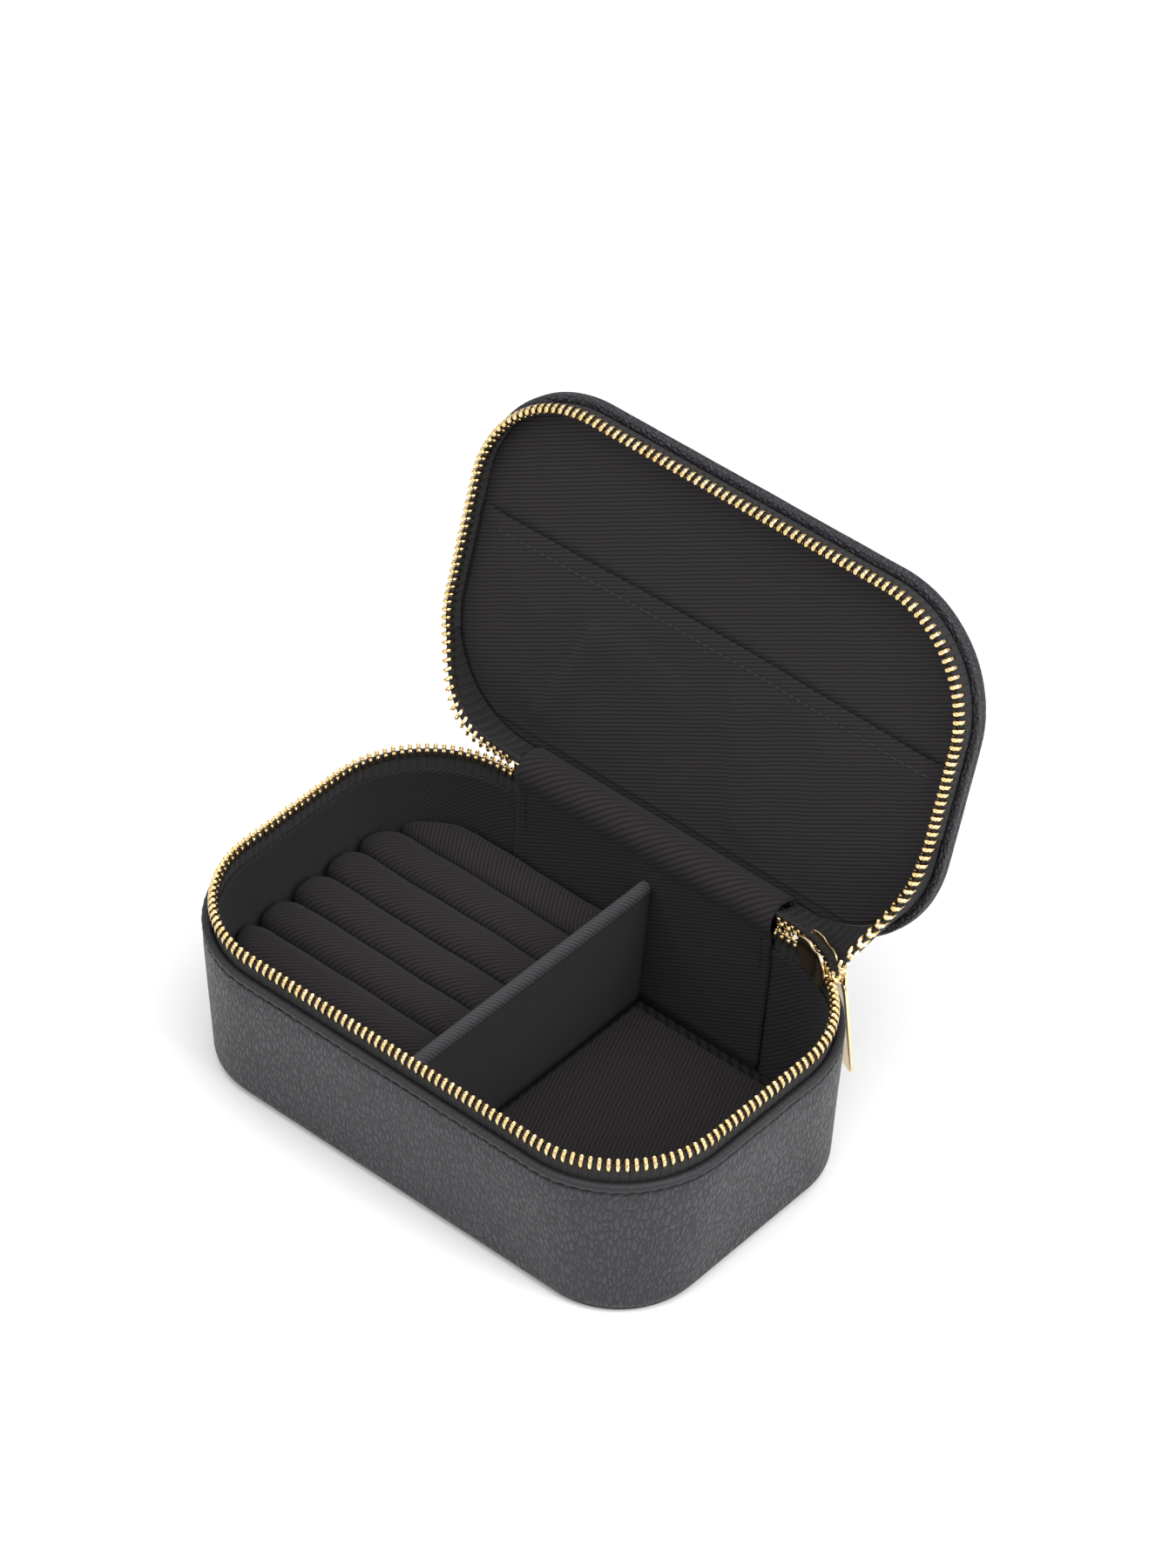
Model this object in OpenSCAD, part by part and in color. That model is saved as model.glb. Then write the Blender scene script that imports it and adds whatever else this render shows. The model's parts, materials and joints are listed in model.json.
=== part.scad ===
// Zip-around leather jewellery case, standing on its base with the lid open.
// X runs along the length, Y to the back, Z up. The origin is the middle of the underside.

/* [Case] */
// Length of the case at the leather edge
case_w = 160; // [150:1:180]
// Depth of the case at the leather edge
case_d = 100; // [96:1:115]
// Height of the base's leather edge above the table
base_h = 46; // [44:1:56]
// Corner radius of the leather edge
corner_r = 33; // [31:0.5:36]
// Corner radius of the foot
foot_r = 24; // [18:1:28]
// How far the foot is drawn in under the edge, on each side
foot_inset = 4; // [2:0.5:5]

/* [Lid] */
// Thickness of the padded lid panel
lid_t = 4; // [3.5:0.1:6]
// Angle from closed at which the lid stands open
open_angle = 107; // [98:1:110]
// Distance from the front of the closed lid to the pocket's mouth
pocket_mouth = 40.5; // [30:0.5:50]

/* [Zip] */
// Height from each leather edge to the middle of the zip
zip_half = 7; // [6.8:0.1:8]
// Distance from one tooth to the next along the chain
tooth_pitch = 2.2; // [2:0.05:2.6]
// Height of a tooth
tooth_h = 3.2; // [3:0.1:3.4]
// Thickness of a tooth along the chain
tooth_t = 1.2; // [1:0.05:1.3]
// Length of the slider along the chain, in degrees about the back corner
slider_span = 20; // [16:1:22]
// Length of the flat pull plate
pull_l = 29; // [20:1:29]
// Width of the flat pull plate
pull_w = 7; // [5:0.5:8]

/* [Inside] */
// Thickness of the divider
divider_t = 3; // [2:0.5:4]
// Height of the divider's top edge
divider_top = 43.5; // [36:0.5:44]
// Number of ring rolls
roll_count = 7; // [6:1:7]
// Radius of one ring roll
roll_r = 5.9; // [5:0.1:6]
// Height of the tops of the ring rolls
roll_top = 30.3; // [28:0.1:34]
// Width of the hinge panel between the two ends of the zip
hinge_w = 81; // [70:1:84]

/* [Hidden] */
$fn = 64;
leather_t = 1.2;
board_t = 1.1;
tape_t = 0.7;
lining_t = 0.7;
gap = 0.05;
slab = 0.05;
tape_out = leather_t + board_t + gap;
tape_in = tape_out + tape_t;
chain_in = tape_out + tape_t / 2;
lining_out = tape_in + gap;
lining_in = lining_out + lining_t;
content_in = lining_in + 0.9;
taper_h = base_h - 8;
bottom_t = 1.3;
turned_t = 1.2;
floor_z = bottom_t + turned_t;
floor_board_t = 1.8;
inner_floor = floor_z + floor_board_t + gap;
floor_lining_t = 0.6;
content_z = inner_floor + floor_lining_t + gap;
lining_top = base_h - 1;
tape_foot = base_h - 7;

zip_z = base_h + zip_half;
lid_z = zip_z + zip_half;
lid_top = lid_z + lid_t;
hinge_y = case_d / 2 - 1;
hinge_z = zip_z + 1.5;

row_gap = 0.7;
tooth_top = zip_z - row_gap;
tooth_foot = tooth_top - tooth_h;
tape_edge = tooth_top - 1.4;
end_tape_t = 0.3;
tooth_w = 2.5;

chain_r = corner_r - chain_in;
corner_x = case_w / 2 - corner_r;
corner_y = case_d / 2 - corner_r;
chain_x = case_w / 2 - chain_in;
chain_y = case_d / 2 - chain_in;
chain_start = hinge_w / 2 + 1.5;
len_corner = PI / 2 * chain_r;
end_back = corner_x - chain_start;
end_rear_corner = end_back + len_corner;
end_side = end_rear_corner + 2 * corner_y;
end_front_corner = end_side + len_corner;
chain_len = 2 * (end_front_corner + corner_x);
tooth_count = floor(chain_len / tooth_pitch);

slider_mid = 65;
slider_from = slider_mid - slider_span / 2;
joined_r = end_back + (90 - slider_from) * PI / 180 * chain_r + 0.6;
flex_r = end_back + (90 - 20) * PI / 180 * chain_r;
joined_l = 3;
flex_l = 30;
plate_t = 0.9;
channel = tooth_w / 2 + 0.4;
slider_half_h = 4.7;
lug_r = chain_r + 4.3;
wire_r = 0.55;
loop_r = 3.9;
loop_leg = 1.6;
bar_z = zip_z - loop_r - loop_leg;
eye_r = 1.15;
plate_top = bar_z - 0.9;
bed_top = roll_top - 8.3;
roll_pitch = 2 * roll_r + 0.5;
panel_t = 1;

function foot(z) = max(0, 1 - z / taper_h);
function inset(z, depth) = depth + foot_inset * foot(z);
function radius(z, depth) = corner_r - (corner_r - foot_r) * foot(z) - depth;
function half_d(z, depth) = case_d / 2 - inset(z, depth);
function smooth(t) = let (u = min(1, max(0, t))) u * u * (3 - 2 * u);

// A point of the lid's hinge section [y, z], turned by the share k of the full opening.
function turned(p, k) = let (a = -open_angle * k, y = p[0] - hinge_y, z = p[1] - hinge_z)
    [hinge_y + y * cos(a) - z * sin(a), hinge_z + y * sin(a) + z * cos(a)];

// Chain line at the distance s from the right end of the hinge panel: [x, y, outward angle].
function right_chain(s) =
    s < end_back ? [chain_start + s, chain_y, 90]
    : s < end_rear_corner ? let (a = 90 - (s - end_back) / chain_r * 180 / PI)
        [corner_x + chain_r * cos(a), corner_y + chain_r * sin(a), a]
    : s < end_side ? [chain_x, corner_y - (s - end_rear_corner), 0]
    : s < end_front_corner ? let (a = -(s - end_side) / chain_r * 180 / PI)
        [corner_x + chain_r * cos(a), -corner_y + chain_r * sin(a), a]
    : [corner_x - (s - end_front_corner), -chain_y, -90];
function chain(s) = s <= chain_len / 2 ? right_chain(s)
    : let (p = right_chain(chain_len - s)) [-p[0], p[1], 180 - p[2]];

// Share of the opening that the lid's row of teeth follows at the distance s along the chain.
function lid_share(s) = s < chain_len / 2 ? smooth((s - joined_r) / (flex_r - joined_r))
    : smooth((chain_len - s - joined_l) / (flex_l - joined_l));

module rounded(w, d, r) {
    square([w - 2 * r, d], center = true);
    square([w, d - 2 * r], center = true);
    for (x = [-1, 1], y = [-1, 1]) translate([x * (w / 2 - r), y * (d / 2 - r)]) circle(r);
}

module outline(z, depth) {
    rounded(case_w - 2 * inset(z, depth), case_d - 2 * inset(z, depth), radius(z, depth));
}

module prism(z0, z1, z_outline, depth) {
    translate([0, 0, z0]) linear_extrude(z1 - z0) outline(z_outline, depth);
}

// Solid between two heights that follows the draw-in of the foot.
module block(z0, z1, depth) {
    hull() {
        prism(z0, z0 + slab, z0, depth);
        prism(taper_h, z1, taper_h, depth);
    }
}

module opened(share = 1) {
    translate([0, hinge_y, hinge_z]) rotate([-open_angle * share, 0, 0])
        translate([0, -hinge_y, -hinge_z]) children();
}

// Places a child drawn with +X outward and Z up on the chain at the distance s.
module on_chain(s, out = 0) {
    p = chain(s);
    translate([p[0] + out * cos(p[2]), p[1] + out * sin(p[2]), 0]) rotate([0, 0, p[2]]) children();
}

// Extrudes a [y, z] outline along X from x0 to x1.
module along_x(x0, x1) {
    translate([x0, 0, 0]) rotate([90, 0, 90]) linear_extrude(x1 - x0) children();
}

module tooth() {
    w = tooth_w / 2;
    slot = tape_t / 2 + gap;
    rotate([90, 0, 0]) linear_extrude(tooth_t, center = true)
        polygon([[-w, tooth_foot], [-slot, tooth_foot], [-slot, tape_edge + gap], [slot, tape_edge + gap],
            [slot, tooth_foot], [w, tooth_foot], [w, tooth_top - 0.8], [w - 0.6, tooth_top],
            [0.6 - w, tooth_top], [-w, tooth_top - 0.8]]);
}

module lid_tooth() {
    translate([0, 0, 2 * zip_z]) mirror([0, 0, 1]) tooth();
}

// ---- base ----

module base_leather() {
    color([0.11, 0.11, 0.12]) difference() {
        hull() {
            prism(bottom_t, bottom_t + slab, bottom_t, 1);
            prism(bottom_t + 1.5, bottom_t + 1.5 + slab, bottom_t + 1.5, 0);
            prism(taper_h, base_h - 0.8, taper_h, 0);
            prism(base_h - slab, base_h, base_h, 0.5);
        }
        block(floor_z, base_h - turned_t, leather_t);
        prism(base_h - turned_t - 1, base_h + 1, base_h, leather_t + board_t);
        prism(0, floor_z + 1, 0, 9);
    }
}

module base_bottom_leather() {
    color([0.1, 0.1, 0.11]) prism(0, bottom_t, 0, 1.2);
}

module base_wall_board() {
    color([0.45, 0.42, 0.38]) difference() {
        block(floor_z + gap, base_h - turned_t - gap, leather_t + gap / 2);
        block(floor_z - 1, base_h, tape_in);
        prism(tape_foot - gap, base_h + 1, base_h, leather_t + board_t);
    }
}

module base_floor_board() {
    color([0.45, 0.42, 0.38]) prism(floor_z + gap, floor_z + floor_board_t, floor_z, tape_in + gap);
}

module base_wall_lining() {
    color([0.13, 0.12, 0.13]) difference() {
        block(inner_floor, lining_top, lining_out);
        block(inner_floor - 1, lining_top + 1, lining_in);
    }
}

module base_floor_lining() {
    color([0.13, 0.12, 0.13])
        prism(inner_floor, inner_floor + floor_lining_t, inner_floor, lining_in + gap);
}

module base_floor_pad() {
    color([0.15, 0.14, 0.15]) intersection() {
        prism(content_z, content_z + 2, content_z, content_in + 3);
        translate([divider_t + 1.5, -case_d / 2, 0]) cube([case_w / 2, case_d, base_h]);
    }
}

module base_stitching() {
    stitch_pitch = 3.2;
    count = floor((chain_len - 4) / stitch_pitch);
    color([0.09, 0.09, 0.1]) for (i = [0 : count - 1])
        on_chain(2 + (i + 0.5) * (chain_len - 4) / count, chain_in + 0.2)
            translate([0, 0, base_h - 2.6]) cube([0.3, 2.3, 0.5], center = true);
}

module divider() {
    back = lining_in + 0.8;
    color([0.14, 0.13, 0.14]) along_x(0, divider_t)
        polygon([[-half_d(content_z, lining_in + gap), content_z], [half_d(content_z, back), content_z],
            [half_d(taper_h, back), taper_h], [half_d(taper_h, back), divider_top],
            [-half_d(taper_h, lining_in + gap), divider_top], [-half_d(taper_h, lining_in + gap), taper_h]]);
}

// ---- ring cushion ----

module ring_bed() {
    color([0.13, 0.12, 0.13]) intersection() {
        prism(content_z, bed_top, content_z, content_in);
        translate([-case_w / 2, -case_d / 2, 0]) cube([case_w / 2 - 0.1, case_d, base_h]);
    }
}

module ring_roll(i) {
    y = (i - (roll_count + 1) / 2) * roll_pitch;
    color([0.14, 0.13, 0.14]) intersection() {
        translate([-case_w / 2, y, roll_top - roll_r]) rotate([0, 90, 0])
            cylinder(h = case_w / 2 - 0.3, r = roll_r);
        prism(bed_top + gap, base_h, bed_top, content_in);
    }
}

module ring_roll_1() { ring_roll(1); }
module ring_roll_2() { ring_roll(2); }
module ring_roll_3() { ring_roll(3); }
module ring_roll_4() { ring_roll(4); }
module ring_roll_5() { ring_roll(5); }
module ring_roll_6() { ring_roll(6); }
module ring_roll_7() { ring_roll(roll_count); }

// ---- hinge ----

// Strip of thickness t that starts upright and is bent over the hinge line between z_low and z_high.
module hinge_strip(points, t, z_low, z_high) {
    function share(p) = smooth((p[1] - z_low) / (z_high - z_low));
    outer = [for (p = points) turned(p, share(p))];
    inner = [for (i = [len(points) - 1 : -1 : 0]) turned(points[i] - [t, 0], share(points[i]))];
    along_x(-hinge_w / 2, hinge_w / 2) polygon(concat(outer, inner));
}

module hinge_leather() {
    y = case_d / 2 + 0.1 + panel_t;
    low = base_h + 4;
    steps = 12;
    bend = [for (i = [0 : steps]) [y, low + (lid_z - low) * i / steps]];
    color([0.11, 0.11, 0.12])
        hinge_strip(concat([[y, taper_h]], bend, [[y, lid_z + 2]]), panel_t, low, lid_z);
}

module hinge_lining() {
    t = 0.6;
    y = case_d / 2 - lining_in - gap;
    low = base_h + 3;
    high = lid_z - 0.4;
    steps = 12;
    foot_point = [half_d(content_z + 1, lining_in + gap), content_z + 1];
    bend = [for (i = [0 : steps]) [y, low + (high - low) * i / steps]];
    color([0.13, 0.12, 0.13])
        hinge_strip(concat([foot_point, [y, taper_h]], bend), t, low, high);
}

module hinge_stitching() {
    color([0.09, 0.09, 0.1]) for (side = [-1, 1], i = [0 : 7]) {
        z = taper_h + 0.6 + i * 1.35;
        translate([side * (hinge_w / 2 - 1.5), case_d / 2 - lining_in - 0.85, z])
            cube([0.5, 0.3, 0.9], center = true);
    }
}

// ---- zip ----

module zip_tape_base() {
    color([0.12, 0.12, 0.13]) difference() {
        prism(tape_foot, tape_edge, base_h, tape_out);
        prism(0, 2 * base_h, base_h, tape_in);
        translate([-chain_start, 0, 0]) cube([2 * chain_start, case_d, 2 * base_h]);
    }
}

module zip_teeth_base() {
    color([0.83, 0.68, 0.4]) for (i = [0 : tooth_count - 1]) on_chain((i + 0.3) * tooth_pitch) tooth();
}

module zip_stop() {
    color([0.83, 0.68, 0.4]) on_chain(chain_len - 0.4) translate([0, 0.3, zip_z]) difference() {
        cube([2.6, 2, 6.4], center = true);
        cube([1.1, 3, 7], center = true);
    }
}

module zip_tape_lid() {
    color([0.12, 0.12, 0.13]) opened() difference() {
        prism(2 * zip_z - tape_edge, lid_z + 0.9, base_h, tape_out);
        prism(0, 2 * base_h + lid_t, base_h, tape_in);
        translate([0, chain(flex_r)[1], 0]) cube([case_w, case_d, 2 * lid_top]);
        translate([-case_w, chain(chain_len - flex_l)[1], 0]) cube([case_w, case_d, 2 * lid_top]);
    }
}

module lid_teeth(first, last) {
    color([0.83, 0.68, 0.4]) for (i = [first : last]) {
        s = (i + 0.8) * tooth_pitch;
        opened(lid_share(s)) on_chain(s) lid_tooth();
    }
}

first_free = ceil(flex_r / tooth_pitch);
last_free = floor((chain_len - flex_l) / tooth_pitch) - 1;

module zip_teeth_lid() { lid_teeth(first_free, last_free); }
module zip_teeth_end_right() { lid_teeth(0, first_free - 1); }
module zip_teeth_end_left() { lid_teeth(last_free + 1, tooth_count - 2); }

// Closed sheet whose cross-section at each distance s has rows [outward offset, z, share].
module lid_tape_end(s0, s1, steps) {
    low = 2 * zip_z - tooth_foot + 0.3;
    mid = zip_z + slider_half_h + 1.8;
    sewn = lid_z - 0.1;
    top = lid_z + 0.9;
    o = end_tape_t / 2;
    function corner(s, off, z, k) = let (p = chain(s),
        q = turned([p[1] + off * sin(p[2]), z], k)) [p[0] + off * cos(p[2]), q[0], q[1]];
    function ring(s) = let (k = lid_share(s))
        [corner(s, o, low, k), corner(s, o, mid, k), corner(s, o, sewn, 1), corner(s, o, top, 1),
         corner(s, -o, top, 1), corner(s, -o, sewn, 1), corner(s, -o, mid, k), corner(s, -o, low, k)];
    points = [for (i = [0 : steps]) each ring(s0 + (s1 - s0) * i / steps)];
    sides = [for (i = [0 : steps - 1], j = [0 : 7]) let (a = 8 * i + j, b = 8 * i + (j + 1) % 8)
        each [[a, b, b + 8], [a, b + 8, a + 8]]];
    caps = [for (j = [0 : 2]) each [[7 - j, 6 - j, j + 1], [7 - j, j + 1, j]]];
    last_caps = [for (f = caps) [for (v = [2 : -1 : 0]) f[v] + 8 * steps]];
    color([0.12, 0.12, 0.13]) polyhedron(points, concat(sides, caps, last_caps), convexity = 6);
}

module zip_tape_end_right() { lid_tape_end(0, flex_r - 0.4, 20); }
module zip_tape_end_left() { lid_tape_end(chain_len - flex_l + 0.4, chain_len, 16); }

// ---- lid ----

module lid_leather() {
    color([0.11, 0.11, 0.12]) opened() difference() {
        hull() {
            prism(lid_z, lid_z + slab, base_h, 0.4);
            prism(lid_z + 0.6, lid_top - 1.6, base_h, 0);
            prism(lid_top - 0.5 - slab, lid_top - 0.5, base_h, 0.7);
            prism(lid_top - slab, lid_top, base_h, 2);
        }
        prism(lid_z - 1, lid_z + 1, base_h, leather_t + board_t);
        prism(lid_z + 0.99, lid_top - leather_t, base_h, leather_t + 0.6);
    }
}

module lid_board() {
    color([0.45, 0.42, 0.38]) opened()
        prism(lid_z + 1.05, lid_top - leather_t - gap, base_h, leather_t + 0.65);
}

module lid_lining() {
    color([0.13, 0.12, 0.13]) opened() prism(lid_z + 0.3, lid_z + 1, base_h, lining_out);
}

module lid_pocket() {
    color([0.14, 0.13, 0.14]) opened() intersection() {
        prism(lid_z - 0.9, lid_z + 0.2, base_h, lining_out + 0.9);
        translate([-case_w / 2, pocket_mouth - case_d / 2, 0])
            cube([case_w, case_d - pocket_mouth - lining_out - 3, 2 * lid_top]);
    }
}

module pocket_stitching() {
    half = case_w / 2 - 8;
    count = 46;
    color([0.09, 0.09, 0.1]) opened() for (i = [0 : count - 1])
        translate([-half + (i + 0.5) * 2 * half / count, pocket_mouth - case_d / 2 + 4.7, lid_z - 1.07])
            cube([2.1, 0.4, 0.3], center = true);
}

module lid_stitching() {
    stitch_pitch = 3.2;
    count = floor((chain_len - 4) / stitch_pitch);
    color([0.09, 0.09, 0.1]) opened() for (i = [0 : count - 1])
        on_chain(2 + (i + 0.5) * (chain_len - 4) / count, chain_in - 4.2)
            translate([0, 0, lid_top + 0.17]) cube([0.5, 2.1, 0.3], center = true);
}

// ---- slider and pull ----

// Turns a [distance from the chain, z] outline about the back right corner's centre.
module corner_sweep(from, span) {
    translate([corner_x, corner_y, 0]) rotate([0, 0, from]) rotate_extrude(angle = span, $fn = 180)
        translate([chain_r, 0]) children();
}

module slider_plate(side) {
    lip = 1;
    color([0.86, 0.72, 0.45]) corner_sweep(slider_from, slider_span) {
        translate([side > 0 ? channel : -channel - plate_t, zip_z - slider_half_h])
            square([plate_t, 2 * slider_half_h]);
        for (z = [zip_z - slider_half_h, zip_z + slider_half_h - 0.5])
            translate([side > 0 ? channel - lip : -channel - gap, z]) square([lip + gap, 0.5]);
    }
}

module slider_outer_plate() { slider_plate(1); }
module slider_inner_plate() { slider_plate(-1); }

module slider_post() {
    post_t = 2 * (row_gap - 0.25);
    color([0.86, 0.72, 0.45]) corner_sweep(slider_from, 5)
        translate([-channel, zip_z - post_t / 2]) square([2 * channel, post_t]);
}

// Frame at the slider's middle: +X outward, +Y along the chain, Z up, origin at the lug's bore.
module at_lug(z = zip_z) {
    translate([corner_x, corner_y, 0]) rotate([0, 0, slider_mid]) translate([lug_r, 0, z]) children();
}

module slider_lug() {
    foot_x = chain_r + channel + plate_t - lug_r;
    color([0.86, 0.72, 0.45]) at_lug() difference() {
        union() {
            translate([foot_x, -1.2, -1.5]) cube([-foot_x, 2.4, 3]);
            rotate([90, 0, 0]) cylinder(h = 2.4, r = 1.5, center = true);
        }
        rotate([90, 0, 0]) cylinder(h = 4, r = 0.95, center = true);
    }
}

module pull_loop() {
    color([0.86, 0.72, 0.45]) at_lug() {
        translate([0, 0, -loop_r]) rotate([90, 0, 90]) rotate_extrude(angle = 180) translate([loop_r, 0])
            circle(wire_r);
        for (side = [-1, 1]) translate([0, side * loop_r, -loop_r - loop_leg]) {
            cylinder(h = loop_leg, r = wire_r);
            sphere(wire_r);
        }
        translate([0, 0, -loop_r - loop_leg]) rotate([90, 0, 0])
            cylinder(h = 2 * loop_r, r = wire_r, center = true);
    }
}

module pull_plate() {
    t = 1;
    end_r = 1;
    low = plate_top - pull_l;
    color([0.86, 0.72, 0.45]) at_lug(0) {
        translate([0, 0, bar_z]) rotate([90, 0, 0]) difference() {
            cylinder(h = 4.6, r = eye_r, center = true);
            cylinder(h = 6, r = wire_r + 0.15, center = true);
        }
        translate([-t / 2, -pull_w / 2, low + end_r]) cube([t, pull_w, pull_l - end_r]);
        translate([-t / 2, end_r - pull_w / 2, low]) cube([t, pull_w - 2 * end_r, pull_l]);
        for (side = [-1, 1]) translate([0, side * (pull_w / 2 - end_r), low + end_r]) rotate([0, 90, 0])
            cylinder(h = t, r = end_r, center = true);
        translate([-t / 2, -2.3, plate_top - 0.5]) cube([t, 4.6, 0.65]);
    }
}

base_leather();
base_bottom_leather();
base_wall_board();
base_floor_board();
base_wall_lining();
base_floor_lining();
base_floor_pad();
base_stitching();
divider();
ring_bed();
ring_roll_1();
ring_roll_2();
ring_roll_3();
ring_roll_4();
ring_roll_5();
ring_roll_6();
ring_roll_7();
hinge_leather();
hinge_lining();
hinge_stitching();
zip_tape_base();
zip_teeth_base();
zip_stop();
lid_leather();
lid_board();
lid_lining();
lid_pocket();
pocket_stitching();
lid_stitching();
zip_tape_lid();
zip_teeth_lid();
zip_tape_end_right();
zip_tape_end_left();
zip_teeth_end_right();
zip_teeth_end_left();
slider_outer_plate();
slider_inner_plate();
slider_post();
slider_lug();
pull_loop();
pull_plate();
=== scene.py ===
import json
import math

import bmesh
import bpy
import numpy as np
from mathutils import Matrix, Vector


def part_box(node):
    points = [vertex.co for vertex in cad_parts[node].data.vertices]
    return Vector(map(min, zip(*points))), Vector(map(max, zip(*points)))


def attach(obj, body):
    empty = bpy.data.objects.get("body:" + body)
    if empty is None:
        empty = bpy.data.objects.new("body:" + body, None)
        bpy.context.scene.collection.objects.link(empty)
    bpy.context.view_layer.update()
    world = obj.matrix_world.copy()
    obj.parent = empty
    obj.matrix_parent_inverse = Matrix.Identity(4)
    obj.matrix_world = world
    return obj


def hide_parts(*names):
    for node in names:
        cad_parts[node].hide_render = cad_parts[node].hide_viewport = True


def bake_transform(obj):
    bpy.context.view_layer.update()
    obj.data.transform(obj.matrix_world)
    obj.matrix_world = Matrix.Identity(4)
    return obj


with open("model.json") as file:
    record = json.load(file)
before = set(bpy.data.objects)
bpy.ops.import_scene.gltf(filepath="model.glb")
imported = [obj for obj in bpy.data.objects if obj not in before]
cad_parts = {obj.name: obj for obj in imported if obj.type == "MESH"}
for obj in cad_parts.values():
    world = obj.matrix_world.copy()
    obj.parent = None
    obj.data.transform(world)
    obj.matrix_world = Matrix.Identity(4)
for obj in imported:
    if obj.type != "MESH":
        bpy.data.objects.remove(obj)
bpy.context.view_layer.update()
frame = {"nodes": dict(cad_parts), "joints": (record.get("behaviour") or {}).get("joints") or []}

# All shapes below are drawn in millimetres, with the lid closed, and turned to the open pose.
MM = 0.001


def box_mm(node):
    low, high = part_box(node)
    return np.array(low) / MM, np.array(high) / MM


# ---- sizes ----

low, high = box_mm("base_leather")
CASE_W, CASE_D = (high - low)[:2]
BASE_H = high[2]
CORNER_R, FOOT_R, FOOT_INSET = 33, 24, 4
TAPER_H, STITCH_Z = BASE_H - 8, BASE_H - 2.6
LEATHER_T, TAPE_T, LINING_T = 1.2, 0.7, 0.7
TAPE_OUT = CASE_W / 2 - box_mm("zip_tape_base")[1][0]
TAPE_IN = TAPE_OUT + TAPE_T
CHAIN_IN = TAPE_OUT + TAPE_T / 2
CHAIN_R = CORNER_R - CHAIN_IN
LINING_OUT = TAPE_IN + 0.05
LINING_IN = LINING_OUT + LINING_T
CONTENT_IN = LINING_IN + 0.9
TOOTH_PITCH, TOOTH_T, TOOTH_W = 2.2, 1.2, 2.5
TOOTH_FOOT, TOOTH_TOP = box_mm("zip_teeth_base")[0][2], box_mm("zip_teeth_base")[1][2]
TAPE_EDGE = box_mm("zip_tape_base")[1][2]
ZIP_Z = TOOTH_TOP + 0.7
LID_Z = 2 * ZIP_Z - BASE_H
LID_TOP = LID_Z + 4
HINGE_W = 81
HINGE = next(j for j in frame["joints"] if j["name"] == "lid_hinge")
PIVOT = np.array(HINGE["pos_m"]) / MM
OPEN = math.radians(HINGE["range_deg"][1])
CORNER = np.array([CASE_W / 2 - CORNER_R, CASE_D / 2 - CORNER_R])
CHAIN_START = HINGE_W / 2 + 1.5

# The way round the case, clockwise from the middle of the back: running length on the chain line,
# signs of the corner centre, and outward direction.
ARC = math.pi / 2 * CHAIN_R
STRETCHES = [CORNER[0], ARC, 2 * CORNER[1], ARC, 2 * CORNER[0], ARC, 2 * CORNER[1], ARC, CORNER[0]]
KNOTS = np.concatenate([[0], np.cumsum(STRETCHES)])
SIGN_X = [0, 1, 1, 1, 1, -1, -1, -1, -1, 0]
SIGN_Y = [1, 1, 1, -1, -1, -1, -1, 1, 1, 1]
HEADING = np.radians([90, 90, 0, 0, -90, -90, -180, -180, -270, -270])
ROUND = KNOTS[-1]
CHAIN_LEN = ROUND - 2 * CHAIN_START
# Distances from the chain's ends: where the lid's row is free, and, at each side, where the rows part too.
FREE_R, FREE_L = 60, 42
ENDS = {1: (CORNER[0] - CHAIN_START + math.radians(35) * CHAIN_R + 0.6, FREE_R), -1: (3, FREE_L)}


def smooth(t):
    t = np.clip(t, 0, 1)
    return t * t * (3 - 2 * t)


def hump(off, width):
    """A smooth hump of height 1, that far off its middle."""
    return np.exp(-(off / width) ** 2)


def heading(s):
    return np.interp(s, KNOTS, HEADING)


def together(*parts):
    """Arrays brought to one shape and stacked as the coordinates of points."""
    return np.stack(np.broadcast_arrays(*parts), -1)


def taper(z):
    """How far the wall is drawn in at the height z, and its corner radius there."""
    foot = np.maximum(0, 1 - z / TAPER_H)
    return FOOT_INSET * foot, CORNER_R - (CORNER_R - FOOT_R) * foot


def place(s, depth, z):
    """Points at the running length s, that far in from the outer face, with the foot drawn in."""
    s, depth, z = (np.asarray(v, float) for v in (s, depth, z))
    inset, radius = taper(z)
    a = heading(s)
    x = np.interp(s, KNOTS, SIGN_X) * (CASE_W / 2 - inset - radius) + (radius - depth) * np.cos(a)
    y = np.interp(s, KNOTS, SIGN_Y) * (CASE_D / 2 - inset - radius) + (radius - depth) * np.sin(a)
    return together(x, y, z)


def half_width(y, depth, z=BASE_H):
    """Half the width in X of the outline at y, that far in from the outer face."""
    inset, radius = taper(z)
    past = np.clip(np.abs(y) - (CASE_D / 2 - inset - radius), 0, radius - depth)
    return CASE_W / 2 - inset - radius + np.sqrt(np.maximum((radius - depth) ** 2 - past ** 2, 0))


def turned(points, share=1.0):
    """Closed-lid points turned about the hinge by a share of the opening."""
    a = -OPEN * np.asarray(share, float)
    y, z = points[..., 1] - PIVOT[1], points[..., 2] - PIVOT[2]
    c, s = np.cos(a), np.sin(a)
    return together(points[..., 0], PIVOT[1] + y * c - z * s, PIVOT[2] + y * s + z * c)


def ring_stations(step):
    """Running lengths all round the case, with a station at each end of each arc."""
    return np.concatenate([np.linspace(a, b, max(2, round((b - a) / step)), endpoint=False)
                           for a, b in zip(KNOTS[:-1], KNOTS[1:])])


def wobble(s, seed, waves, size):
    """Small smooth unevenness round the case, the same on each run."""
    rng = np.random.default_rng(seed)
    out = np.zeros_like(s)
    for k in waves:
        out = out + np.cos(2 * math.pi * k * s / ROUND + rng.uniform(0, 2 * math.pi)) * rng.uniform(0.5, 1)
    return size * out / len(waves)


# ---- materials ----


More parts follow.
